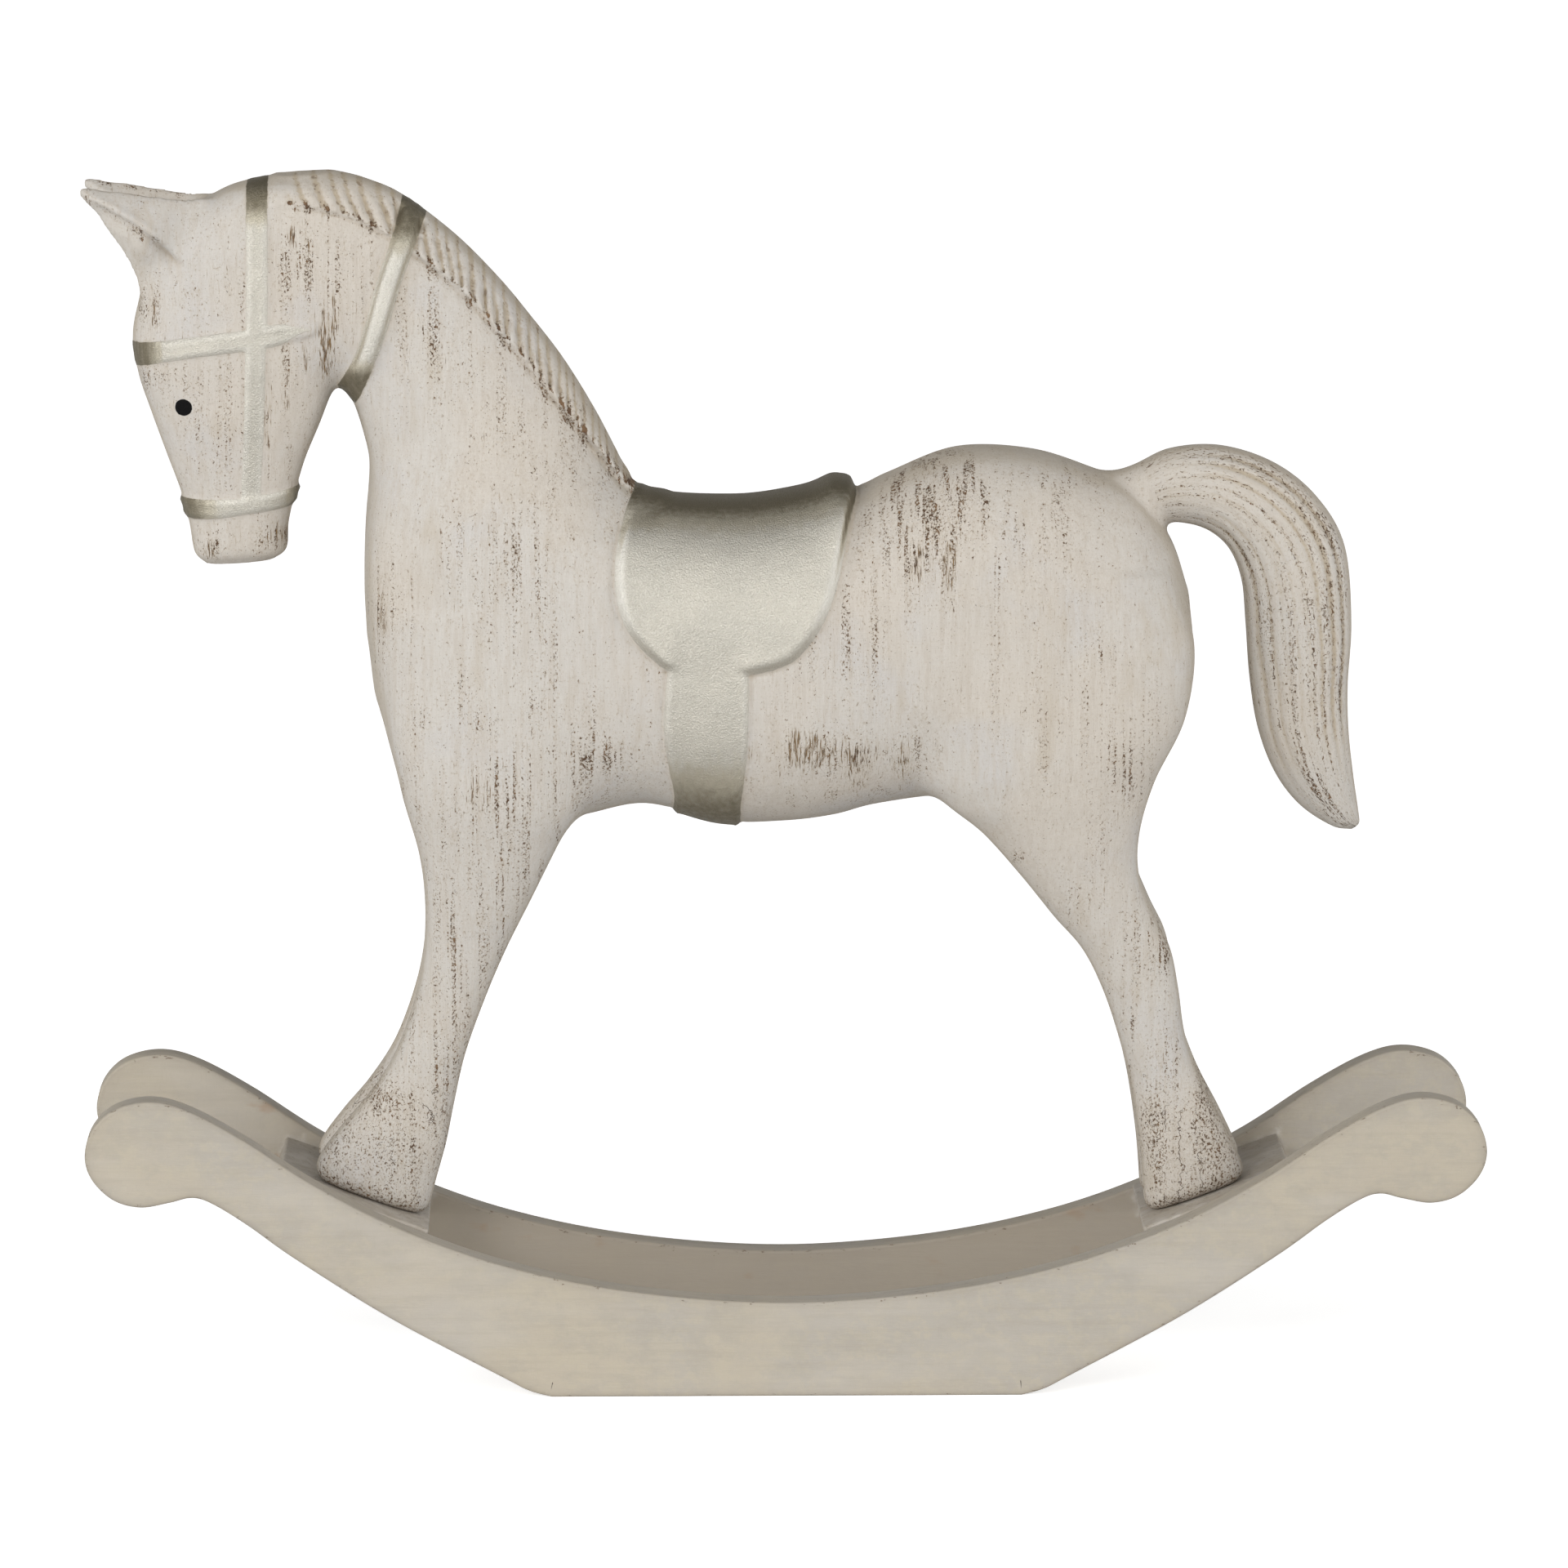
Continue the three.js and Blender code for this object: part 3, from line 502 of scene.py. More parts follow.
# Where the paint is rubbed through to brown, on either flank: x, z, half width, half height,
# amount. Specks come first, then upright strokes.
SPECKS = [
    (50, 374, 6, 20, 0.62), (65, 381, 8, 23, 0.8), (78, 388, 6, 18, 0.68), (64, 378, 24, 24, 0.3),
    (116, 374, 17, 21, 0.3), (133, 321, 7, 8, 0.45), (89, 311, 2.2, 48, 0.42),
    (32, 321, 7, 33, 0.42), (17, 277, 22, 10, 0.6), (56, 281, 7, 14, 0.5), (145, 276, 9, 12, 0.5),
    (31, 257, 17, 4, 0.5), (110, 279, 2.2, 26, 0.4), (-82, 288, 11, 17, 0.35),
    (-79, 275, 8, 7, 0.5), (-201, 484, 21, 17, 0.52), (-211, 444, 9, 9, 0.45),
    (-153, 456, 7, 22, 0.45), (-139, 443, 6, 22, 0.4), (-118, 421, 6, 12, 0.35),
    (-269, 465, 3.5, 9, 0.6), (-276, 467, 3, 9, 0.45), (-271, 437, 3, 6, 0.5),
    (-261, 436, 7, 6, 0.45), (-240, 412, 13, 26, 0.26), (-217, 367, 6, 5, 0.8),
    (-246, 362, 4, 7, 0.75), (-221, 397, 5, 6, 0.4), (-232, 363, 18, 4, 0.4),
    (-173, 338, 6, 24, 0.62), (-164, 336, 4, 22, 0.45), (-115, 343, 3, 38, 0.4),
    (-106, 343, 3, 38, 0.38), (-99, 319, 3, 29, 0.5), (-90, 343, 2.5, 40, 0.34),
    (-127, 333, 2, 12, 0.5), (-137, 307, 5, 12, 0.5), (-106, 296, 4, 11, 0.6),
    (-131, 292, 7, 6, 0.62), (-155, 292, 6, 6, 0.5), (-122, 261, 14, 13, 0.5),
    (-162, 271, 6, 27, 0.5), (-129, 236, 28, 34, 0.3), (-121, 222, 5, 40, 0.36),
    (-142, 192, 4, 26, 0.36), (-148, 138, 4, 15, 0.5), (-171, 125, 10, 6, 0.6),
    (-172, 101, 30, 22, 0.34), (122, 210, 13, 11, 0.4), (161, 185, 4, 8, 0.7),
    (150, 191, 10, 20, 0.3), (149, 157, 1.8, 7, 0.6), (166, 142, 3, 17, 0.55),
    (180, 122, 5, 15, 0.66), (158, 116, 3, 13, 0.5), (186, 100, 7, 13, 0.5), (161, 96, 4, 15, 0.45),
    (135, 234, 5, 15, 0.42), (98, 232, 7, 5, 0.42), (147, 261, 6, 9, 0.4), (172, 100, 24, 22, 0.2),
    (236, 252, 10, 8, 0.36), (236, 372, 8, 14, 0.3),
]
STROKES = [
    (56, 360, 5, 10, 0.62), (69, 360, 3, 14, 0.8), (17, 277, 22, 8, 0.55), (4, 281, 3, 9, 0.75),
    (12, 279, 2, 7, 0.75), (-195, 452, 7, 17, 0.5), (-220.7, 415.6, 1.3, 11, 0.95),
    (-212, 428, 1.2, 10, 0.85), (-204, 445, 1.2, 7, 0.85), (-195.5, 449, 1.6, 11, 0.95),
    (-192, 463, 1.2, 8, 0.85), (-209, 497, 1.5, 8, 0.8), (-203, 492, 1.6, 9, 0.85),
    (-217, 367, 5, 5, 0.6), (-246, 361, 3, 6, 0.7), (-269, 464, 1.6, 8, 0.8),
    (-172, 336, 3, 14, 0.6), (-130, 262, 10, 12, 0.4), (50, 272, 4, 12, 0.5),
    (-171, 101, 1.4, 6, 0.4), (62, 396, 12, 6, 0.3), (31, 268, 5, 12, 0.5),
]


def gathered(patches, x, z):
    return sum(a * bump(x, px, rx) * bump(z, pz, rz) for px, pz, rx, rz, a in patches)


def paint_maps(me, co, hollow):
    """Values the paint follows, in millimetres or 0 to 1, one per vertex."""
    x, y, z = co.T
    _, tack, mane, groove, saddle, girth, straps, throat, brow = relief_maps(x, z)
    faded = step(x, -216, -203) * (brow < 1.5) * (throat > 0)
    give(me, "tack", tack + 3.0 * faded)
    give(me, "eye", np.hypot(x - EYE[0], z - EYE[1]) - EYE[2])
    groove = groove * (throat > 1) * (straps > 1)
    on_tail = tail_part(x, z, 0)
    lined = np.zeros(len(x))
    lined[on_tail] = tail_groove(x[on_tail], z[on_tail])
    give(me, "groove", np.maximum(groove, 0.9 * lined))
    # along the lower edge of the mane
    clear = (throat > 0.6) * (straps > 0.6) * (x > -211)
    wear = 0.8 * gathered(SPECKS, x, z)
    wear += 0.9 * bump(mane, -0.6, 1.5) * (0.2 + 0.8 * step(groove, 0.15, 0.7)) * clear
    wear += 0.5 * bump(mane, 0.8, 1.2) * clear
    give(me, "tips", bump(mane, -1.5, 1.7) * step(groove, 0.1, 0.45) * clear)
    # along the ears, round the soles, down the legs and over the tail
    mirrored = np.stack([x, np.abs(y), z], 1)
    for a, b, wide in EAR_EDGES:
        wear += 0.75 * bump(segment_distance(mirrored, a, b), 0, wide)
    wear += 0.75 * bump(z - slat_top(x), 0, 4.5) * (z < 130)
    wear += 0.25 * np.clip(-hollow[0] / 0.35, 0, 1) * (z < 240)
    wear += 0.16 * step(-z, -210, -130) * (x < 205)
    wear += on_tail * (0.12 * np.clip(lined / 0.6, 0, 1) + 0.26)
    give(me, "wear", np.clip(wear, 0, 1.1))
    give(me, "strokes", np.clip(gathered(STROKES, x, z), 0, 1.1))
    # how hollow the surface is, for darkening the hollows: painted shade, with some grime
    give(me, "hollow", np.clip(hollow[0] * 0.8 + hollow[1] * 0.25, -1, 1.5))
    give(me, "hoof", step(-z, -150, -112) * (z < 160))
    # the edges of the silver are painted lighter, most of all down the sides of the saddle: a painted
    # highlight
    painted_highlights = [
        bump(saddle, -1.9, 1.9) * (girth > 0) * step(z, 322, 345),
        0.35 * bump(girth, -1.3, 1.2) * (saddle > 0),
        0.35 * bump(straps, -1.1, 1.1),
        0.45 * bump(throat, -3.4, 1.8),
    ]
    give(me, "rim", reduce(np.maximum, painted_highlights))
    # darker where the paint faces up, down, forwards or back rather than sideways, and on the bridle
    # over the poll and nose, the throat strap's ends and the girth under the belly: painted shade and
    # painted reflection
    front = step(-x, np.where(z > 400, 262, 250), np.where(z > 400, 272, 257))
    nose_ends = (z < 395) * np.maximum(step(-x, 236, 256), step(x, -216, -207))
    shaded_tack = [
        (straps < 1) * reduce(np.maximum, (step(z, 497, 512), front, nose_ends)),
        (throat < 1) * np.maximum(step(z, 484, 502), step(-z, -447, -435)),
        (girth < 1) * step(-z, -284, -247),
    ]
    turned_away = 1 - step(np.abs(read(me.vertices, "normal")[:, 1]), 0.18, 0.78)
    give(me, "painted_shade", np.maximum(turned_away, 0.85 * reduce(np.maximum, shaded_tack)))


def brush(me, along_tail):
    """The direction of the paint strokes: up and down the horse, and along the tail."""
    co = read(me.vertices, "co")
    if along_tail:
        x, y, z = co.T / MM
        length, across = tail_coordinate(x, z)
        co = np.stack([across * 42, y, length], 1) * MM
    give(me, "grain", co)


def side_of(line, x, z):
    """Positive on the left of the line."""
    x0, z0, x1, z1 = line
    n = math.hypot(x1 - x0, z1 - z0)
    return ((x - x0) * -(z1 - z0) + (z - z0) * (x1 - x0)) / n


def tail_part(x, z, margin):
    """What belongs to the tail, and a margin past its joint. The joint ends above TAIL_CLEAR."""
    beyond = (side_of(TAIL_JOINT, x, z) > -margin) | (z < TAIL_CLEAR)
    return beyond & (z > TAIL_LOW) & ((x > TAIL_X) | ((x > 140) & (z > TAIL_CLEAR + 5)))


def plane_of(line):
    """A cutting plane: a point, and the normal of the side thrown away."""
    x0, z0, x1, z1 = line
    return Vector((x0, 0, z0)) * MM, Vector((z0 - z1, 0, x1 - x0)).normalized()


SLOPE = math.atan(SLAT_SLOPE)
SLAT_LENGTH = (SLAT_X1 - SLAT_X0) / math.cos(SLOPE)


def slat_frame(s):
    """Middle of a slat, its direction up the slope, and its normal, in the side plane."""
    x = (SLAT_X0 + SLAT_X1) / 2
    along = np.array([s * math.cos(SLOPE), 0, math.sin(SLOPE)])
    normal = np.array([-s * math.sin(SLOPE), 0, math.cos(SLOPE)])
    return np.array([s * x, 0, slat_top(x)]) - normal * SLAT_T / 2, along, normal


HEAD_P, NECK_P, TAIL_P = (plane_of(p) for p in (HEAD_JOINT, NECK_JOINT, TAIL_JOINT))
LEG_P = plane_of((0, LEG_JOINT_Z, 1, LEG_JOINT_Z))


def flipped(plane):
    return plane[0], -plane[1]


def block(name, whole, keep, planes, above=0.0):
    """Copies the faces near one block out of the whole horse, and cuts them flat at the joints.

    Only what is higher than above is cut.
    """
    bm = bmesh.new()
    bm.from_mesh(whole)
    centres = np.array([f.calc_center_median()[:] for f in bm.faces]) / MM
    wanted = keep(*centres.T)
    bmesh.ops.delete(bm, geom=[f for f, w in zip(bm.faces[:], wanted) if not w], context="FACES")
    for point, normal in planes:
        high = [v for v in bm.verts if v.co.z > above * MM]
        chosen = set(high)
        geom = high + [g for g in bm.edges[:] + bm.faces[:] if chosen.issuperset(g.verts)]
        cut = bmesh.ops.bisect_plane(
            bm, geom=geom, dist=1e-7, plane_co=point, plane_no=normal, clear_outer=True)
        skin = set(bm.faces)
        rim = [e for e in cut["geom_cut"] if isinstance(e, bmesh.types.BMEdge)]
        bmesh.ops.contextual_create(bm, geom=rim)
        for f in bm.faces:
            if f not in skin:
                f.smooth = False
                f.material_index = 1
    bmesh.ops.triangulate(bm, faces=[f for f in bm.faces if f.material_index == 1])
    me = bpy.data.meshes.new(name)
    bm.to_mesh(me)
    bm.free()
    # the skin keeps the shading normals of the whole horse, so that no joint shows through paint
    corners = np.empty(len(me.loops), np.int32)
    me.loops.foreach_get("vertex_index", corners)
    normals = read(me.attributes["skin_normal"].data, "vector")[corners]
    normals /= np.maximum(np.linalg.norm(normals, axis=1, keepdims=True), 1e-9)
    for p in me.polygons:
        if p.material_index == 1:
            normals[p.loop_start : p.loop_start + p.loop_total] = p.normal
    me.attributes.remove(me.attributes["skin_normal"])
    me.normals_split_custom_set(normals.tolist())
    return linked(name, me)


# ---------------- materials


class Shade:
    """A short way to write the shader nodes of a material or a world."""

    def __init__(self, owner, shader="BsdfPrincipled", output="OutputMaterial"):
        owner.use_nodes = True
        self.owner, self.t = owner, owner.node_tree
        self.t.nodes.clear()
        self.shader = self.node(shader)
        self.t.links.new(self.shader.outputs[0], self.node(output).inputs[0])
        self.places = self.node("TexCoord").outputs
        self.where = self.places["Object"]

    def node(self, kind, **settings):
        n = self.t.nodes.new("ShaderNode" + kind)
        for key, value in settings.items():
            setattr(n, key, value)
        return n

    def put(self, socket, value):
        if isinstance(value, bpy.types.NodeSocket):
            self.t.links.new(value, socket)
        elif socket.type == "RGBA":
            socket.default_value = (*value, 1)
        else:
            socket.default_value = value

    def fill(self, n, *values, **named):
        """Sets the node's first inputs in order, and others by name."""
        for socket, value in zip(n.inputs, values):
            self.put(socket, value)
        for key, value in named.items():
            self.put(n.inputs[key.replace("_", " ")], value)
        return n

    def math(self, op, *values):
        return self.fill(self.node("Math", operation=op), *values).outputs[0]

    def add(self, a, b):
        return self.math("ADD", a, b)

    def mul(self, a, b):
        return self.math("MULTIPLY", a, b)

    def most(self, a, b):
        return self.math("MAXIMUM", a, b)

    def swing(self, value, size):
        """A noise round 0."""
        return self.mul(self.math("SUBTRACT", value, 0.5), size)

    def attr(self, name):
        return self.node("Attribute", attribute_name=name).outputs["Fac"]

    def follow(self, name):
        """Textures made from here on use the place held by an attribute."""
        self.where = self.node("Attribute", attribute_name=name).outputs["Vector"]

    def parts(self, vector):
        return self.fill(self.node("SeparateXYZ"), vector).outputs

    def scaled(self, scale):
        return self.fill(self.node("Mapping"), Vector=self.where, Scale=scale).outputs[0]

    def noise_node(self, scale, detail=4.0, rough=0.55, warp=0.0):
        scale = scale if isinstance(scale, tuple) else (scale,) * 3
        return self.fill(self.node("TexNoise"), Vector=self.scaled(scale), Scale=1.0, Detail=detail,
                         Roughness=rough, Distortion=warp)

    def noise(self, *settings):
        return self.noise_node(*settings).outputs["Fac"]

    def cracks(self, scale, warp):
        """Distance to the edge between cells, wandering by warp."""
        wander = self.noise_node(scale[0] * 3, 3.0, 0.5).outputs["Color"]
        add = self.node("VectorMath", operation="MULTIPLY_ADD")
        place = self.fill(add, wander, (warp,) * 3, self.scaled(scale)).outputs[0]
        cells = self.node("TexVoronoi", feature="DISTANCE_TO_EDGE")
        return self.fill(cells, Vector=place, Scale=1.0).outputs["Distance"]

    def span(self, value, lo, hi, to_lo=0.0, to_hi=1.0):
        """Smooth step from lo to hi, onto to_lo to to_hi."""
        n = self.node("MapRange", interpolation_type="SMOOTHSTEP")
        return self.fill(n, value, lo, hi, to_lo, to_hi).outputs[0]

    def lerp(self, fac, a, b, kind="FLOAT", first=2, out=0):
        n = self.fill(self.node("Mix", data_type=kind), fac)
        self.put(n.inputs[first], a)
        self.put(n.inputs[first + 1], b)
        return n.outputs[out]

    def mix(self, fac, a, b):
        return self.lerp(fac, a, b, "RGBA", 6, 2)

    def layers(self, base, rows):
        """Over the base, a colour by its amount wherever a value rises from lo to hi."""
        for value, lo, hi, amount, colour in rows:
            base = self.mix(self.span(value, lo, hi, 0, amount), base, colour)
        return base

    def bumped(self, height, distance, strength=1.0, **under):
        n = self.fill(self.node("Bump"), Height=height, Distance=distance, Strength=strength, **under)
        return n.outputs[0]

    def done(self, **values):
        self.fill(self.shader, **values)
        return self.owner


def material(name):
    return Shade(bpy.data.materials.new(name))


BROWN = (0.092, 0.054, 0.032)
UMBER = (0.18, 0.109, 0.06)
TAN = (0.36, 0.29, 0.21)
OCHRE = (0.21, 0.135, 0.066)


def horse_paint():
    s = material("horse_paint")
    names = "wear", "strokes", "hollow", "hoof", "groove", "painted_shade"
    wear, strokes, hollow, hoof, groove, painted_shade_map = map(s.attr, names)
    cloud = s.noise(12, 3, 0.55)
    s.follow("grain")
    # whitewash: warm white, brushed up and down, rosy in places and bluish in others
    streak = s.noise((380, 380, 26), 5, 0.62)
    fine = s.noise((1300, 1300, 150), 3, 0.6)
    weave = s.noise((150, 150, 1300), 3, 0.6)
    base = s.mix(s.span(cloud, 0.4, 0.6), (0.515, 0.474, 0.42), (0.51, 0.484, 0.446))
    base = s.layers(base, (
        (s.noise(23, 3), 0.52, 0.7, 0.6, (0.485, 0.47, 0.458)),
        (streak, 0.42, 0.68, 0.5, (0.455, 0.408, 0.352)),
        (fine, 0.48, 0.72, 0.3, (0.60, 0.57, 0.53)),
        (weave, 0.5, 0.72, 0.2, (0.44, 0.40, 0.36)),
        (s.noise((60, 60, 14), 4, 0.6), 0.56, 0.72, 0.45, (0.44, 0.385, 0.31)),
        # darker and browner in the hollows: painted shade, with some grime
        (hollow, 0.12, 0.9, 0.75, (0.36, 0.30, 0.225)),
        # darker where the paint faces up, down, forwards or back: painted shade
        (painted_shade_map, 0.45, 1.0, 0.4, (0.39, 0.33, 0.24)),
    ))
    # specks stand in upright rows, closer together where the paint is rubbed
    rows = s.span(s.noise((370, 60, 7), 2, 0.55), 0.46, 0.6)
    broad = s.span(s.noise(15, 3, 0.6), 0.42, 0.66)
    sparse = s.add(s.mul(s.mul(rows, broad), 0.24), s.mul(rows, 0.05))
    even = s.mul(wear, s.lerp(hoof, s.span(rows, 0, 1, 0.34, 1.0), 0.74))
    amount = s.math("MINIMUM", s.add(even, sparse), s.lerp(hoof, 0.62, 0.5))
    amount = s.add(amount, s.mul(s.attr("tips"), 0.8))
    speck = s.add(s.swing(s.noise((980, 980, 760), 3, 0.65, 0.1), 3.4), amount)
    dust = s.add(s.swing(s.noise((1500, 1500, 1300), 2, 0.6), 3.2), s.mul(amount, 0.72))
    dash = s.swing(s.noise((1500, 260, 110), 4, 0.65), 3.4)
    dash = s.add(dash, s.math("MINIMUM", strokes, 0.56))
    chip, line = s.span(speck, 0.72, 0.86), s.span(dash, 0.72, 0.9)
    crack = s.span(s.cracks((70, 70, 13), 0.7), 0.0, 0.016, 1, 0)
    crack = s.mul(crack, s.mul(hoof, s.span(s.noise((55, 55, 30), 2), 0.53, 0.6)))
    deep = s.mul(s.span(groove, 0.45, 0.9), s.span(s.noise((300, 300, 260), 4, 0.65), 0.53, 0.63))
    dark = s.most(s.most(chip, s.span(dust, 0.66, 0.84, 0, 0.75)), s.most(line, crack))
    dark = s.most(dark, s.mul(deep, 0.5))
    stain = s.most(s.span(speck, 0.2, 0.75, 0, 0.55), s.span(dash, 0.35, 0.8, 0, 0.8))
    shade = s.layers(base, ((groove, 0.15, 0.9, 0.7, (0.38, 0.31, 0.215)),))
    tone = s.mix(s.span(s.noise(170, 3), 0.4, 0.6), BROWN, UMBER)
    tone = s.mix(s.mul(line, s.span(s.noise((90, 90, 20), 2), 0.4, 0.55)), tone, OCHRE)
    wood = s.mix(dark, s.mix(stain, shade, TAN), tone)
    # silver paint on the saddle, girth and bridle, over a brown ground
    tack = s.span(s.add(s.attr("tack"), s.swing(s.noise(300, 3), 0.9)), -0.3, 0.2, 1, 0)
    grain = s.noise((1350, 1350, 1450), 3, 0.62, 0.35)
    painted_shade = s.add(painted_shade_map, s.swing(s.noise((420, 420, 60), 4), 0.5))
    # the silver is painted lighter along the edges of the relief: a painted highlight, held back where
    # painted shade lies
    rim = s.mul(s.attr("rim"), s.span(painted_shade, 0.3, 0.7, 0.8, 0))
    silver = s.mix(s.span(s.noise(48, 3), 0.35, 0.65), (0.545, 0.518, 0.455), (0.51, 0.487, 0.43))
    silver = s.mix(s.span(grain, 0.5, 0.7, 0, 0.5), silver, (0.70, 0.685, 0.625))
    silver = s.mix(s.span(grain, 0.3, 0.46, 0.4, 0), silver, (0.36, 0.34, 0.285))
    silver = s.layers(s.mix(rim, silver, (0.76, 0.745, 0.695)), (
        # olive, then dark brown, where the silver faces up, down, forwards or back and on the shaded
        # parts of the tack: painted reflection and painted shade
        (painted_shade, 0.02, 0.4, 0.62, (0.43, 0.385, 0.285)),
        (painted_shade, 0.34, 1.0, 0.87, (0.138, 0.116, 0.072)),
    ))
    rub = s.mul(s.most(chip, line), s.mul(s.span(wear, 0.5, 0.9), 0.6))
    silver = s.mix(rub, silver, (0.25, 0.19, 0.13))
    eye = s.span(s.add(s.attr("eye"), s.swing(s.noise(500, 2), 0.5)), -0.15, 0.12, 1, 0)
    height = s.add(s.mul(streak, 0.3), s.add(s.mul(weave, 0.2), s.mul(fine, 0.22)))
    height = s.lerp(tack, s.add(height, s.mul(dark, -0.9)), s.mul(grain, 1.3))
    rough = s.lerp(dark, s.span(streak, 0.3, 0.7, 0.6, 0.72), 0.9)
    gloss = s.span(painted_shade, 0.2, 1.0, 0.36, 0.5)
    return s.done(
        Base_Color=s.mix(eye, s.mix(tack, wood, silver), (0.008, 0.0075, 0.008)),
        Metallic=s.lerp(eye, s.mul(tack, s.lerp(rim, 0.72, 0.35)), 0.85),
        Roughness=s.lerp(eye, s.lerp(tack, rough, gloss), 0.42),
        Normal=s.bumped(height, 0.0004, Normal=s.bumped(s.noise(70, 3, 0.5), 0.0012, 0.5)),
        Specular_IOR_Level=0.35,
    )


def slat_end(s):
    """Distance in mm to the end of a cross slat where it meets a board, in the side plane."""
    x, y, z = (s.mul(part, 1000.0) for part in s.parts(s.where))
    x, y = s.math("ABSOLUTE", x), s.math("ABSOLUTE", y)
    middle, *axes = slat_frame(1)
    dx, dz = s.math("SUBTRACT", x, middle[0]), s.math("SUBTRACT", z, middle[2])
    past = []
    for axis, half in zip(axes, (SLAT_LENGTH / 2, SLAT_T / 2)):
        place = s.add(s.mul(dx, axis[0]), s.mul(dz, axis[2]))
        past.append(s.math("SUBTRACT", s.math("ABSOLUTE", place), half))
    return s.most(*past), x, y


def board_paint():
    """Warm grey paint, brushed along the board, darker on the sawn edges."""
    s = material("board_paint")
    edge = s.attr("edge")
    streak = s.noise((20, 300, 330), 5, 0.62)
    fine = s.noise((260, 1300, 1500), 3, 0.6)
    cross = s.noise((1500, 1300, 260), 3, 0.6)
    base = s.mix(s.span(s.noise(13, 3, 0.55), 0.38, 0.62), (0.435, 0.388, 0.312), (0.40, 0.37, 0.325))
    base = s.layers(base, (
        (s.noise((150, 190, 200), 4, 0.7), 0.45, 0.6, 0.5, (0.455, 0.41, 0.32)),
        (s.noise((60, 80, 80), 4, 0.7), 0.47, 0.62, 0.45, (0.37, 0.34, 0.29)),
        (s.noise((9, 30, 40), 3), 0.5, 0.68, 0.5, (0.46, 0.425, 0.372)),
        (streak, 0.45, 0.7, 0.35, (0.36, 0.322, 0.268)),
        (fine, 0.5, 0.75, 0.2, (0.50, 0.465, 0.41)),
        (cross, 0.5, 0.75, 0.14, (0.32, 0.285, 0.235)),
    ))
    # the inner faces and the slats are darker, most of all in the middle under the horse: painted shade;
    # and the slats are filled at their ends
    away, x, y = slat_end(s)
    inner = s.span(y, BOARD_Y - BOARD_T + 0.2, BOARD_Y - BOARD_T + 1.2, 1, 0)
    base = s.mix(s.mul(inner, s.span(x, 150, 250, 0.75, 0.12)), base, (0.33, 0.285, 0.228))
    rust = s.mul(s.mul(inner, 0.6), s.span(s.noise((26, 60, 50), 4), 0.6, 0.72))
    base = s.mix(rust, base, (0.33, 0.21, 0.125))
    ragged = s.add(away, s.swing(s.noise(150, 3), 11.0))
    smear = s.mul(s.span(ragged, -1.5, 3.5, 1, 0), s.span(away, -2.5, -1.0))
    smear = s.mul(s.mul(smear, s.span(s.noise((90, 90, 60), 4), 0.4, 0.6, 0.35, 1.0)), inner)
    base = s.mix(s.mul(smear, 0.8), base, (0.52, 0.49, 0.45))
    limit = s.lerp(s.math("MINIMUM", edge, 1.0), 0.735, 0.62)
    speck = s.math("SUBTRACT", s.noise((330, 700, 700), 4, 0.68), limit)
    dark = s.span(speck, 0.0, 0.03, 0, 0.7)
    base = s.mix(s.mul(edge, 0.3), base, (0.27, 0.235, 0.19))
    height = s.add(s.add(s.mul(streak, 0.4), s.mul(fine, 0.25)), s.mul(dark, -0.7))
    height = s.add(height, s.mul(smear, 1.2))
    return s.done(
        Base_Color=s.mix(dark, base, (0.15, 0.1, 0.062)),
        Roughness=s.span(streak, 0.3, 0.7, 0.5, 0.64),
        Normal=s.bumped(height, 0.00026, Normal=s.bumped(s.noise(42, 3, 0.5), 0.001, 0.4)),
        Specular_IOR_Level=0.4,
    )


def bare_wood(name, scale, dark, light, rough):
    s = material(name)
    return s.done(Base_Color=s.mix(s.noise(scale, 4, 0.6), dark, light), Roughness=rough)


def screw_steel():
    s = material("screw_steel")
    turn = s.noise((900, 900, 200), 3, 0.6)
    return s.done(
        Base_Color=s.mix(turn, (0.42, 0.42, 0.41), (0.56, 0.55, 0.52)), Metallic=1.0,
        Roughness=s.span(turn, 0.3, 0.7, 0.3, 0.45), Normal=s.bumped(turn, 0.0001),
    )


# ---------------- the horse


def build_horse():
    """The whole horse as one mesh, and what to keep and where to cut for each block."""
    pts, quads, hollow = carve()
    pts = relaxed(pts, quads, 3)
    whole = bpy.data.meshes.new("whole")
    whole.from_pydata((pts * MM).tolist(), [], quads.tolist())
    whole.shade_smooth()
    whole.update()
    paint_maps(whole, pts, hollow)
    give(whole, "skin_normal", read(whole.vertices, "normal"))

    def head(x, y, z):
        return side_of(HEAD_JOINT, x, z) > -MARGIN

    def below_head(x, z):
        return side_of(HEAD_JOINT, x, z) < MARGIN

    def neck(x, y, z):
        return below_head(x, z) & (side_of(NECK_JOINT, x, z) > -MARGIN)

    def tail(x, y, z):
        return tail_part(x, z, MARGIN)

    def torso(x, y, z):
        behind = below_head(x, z) & (side_of(NECK_JOINT, x, z) < MARGIN)
        return behind & ~tail_part(x, z, -MARGIN) & (z > LEG_JOINT_Z - MARGIN)

    def leg(end, side):
        def keep(x, y, z):
            low = (x * end > 0) & (y * side > 0) & (z < LEG_JOINT_Z + MARGIN)
            return low & ~((x > TAIL_X) & (z > TAIL_LOW))
        return keep

    plan = {
        "head": (head, [flipped(HEAD_P)]),
        "neck": (neck, [HEAD_P, flipped(NECK_P)]),
        "tail": (tail, [flipped(TAIL_P)], TAIL_CLEAR),
        "torso": (torso, [NECK_P, TAIL_P, flipped(LEG_P)]),
    }
    for s, side in ((-1, "near"), (1, "far")):
        plan[f"leg_front_{side}"] = (leg(-1, s), [LEG_P])
        plan[f"leg_hind_{side}"] = (leg(1, s), [LEG_P])
    return whole, plan


# ---------------- base


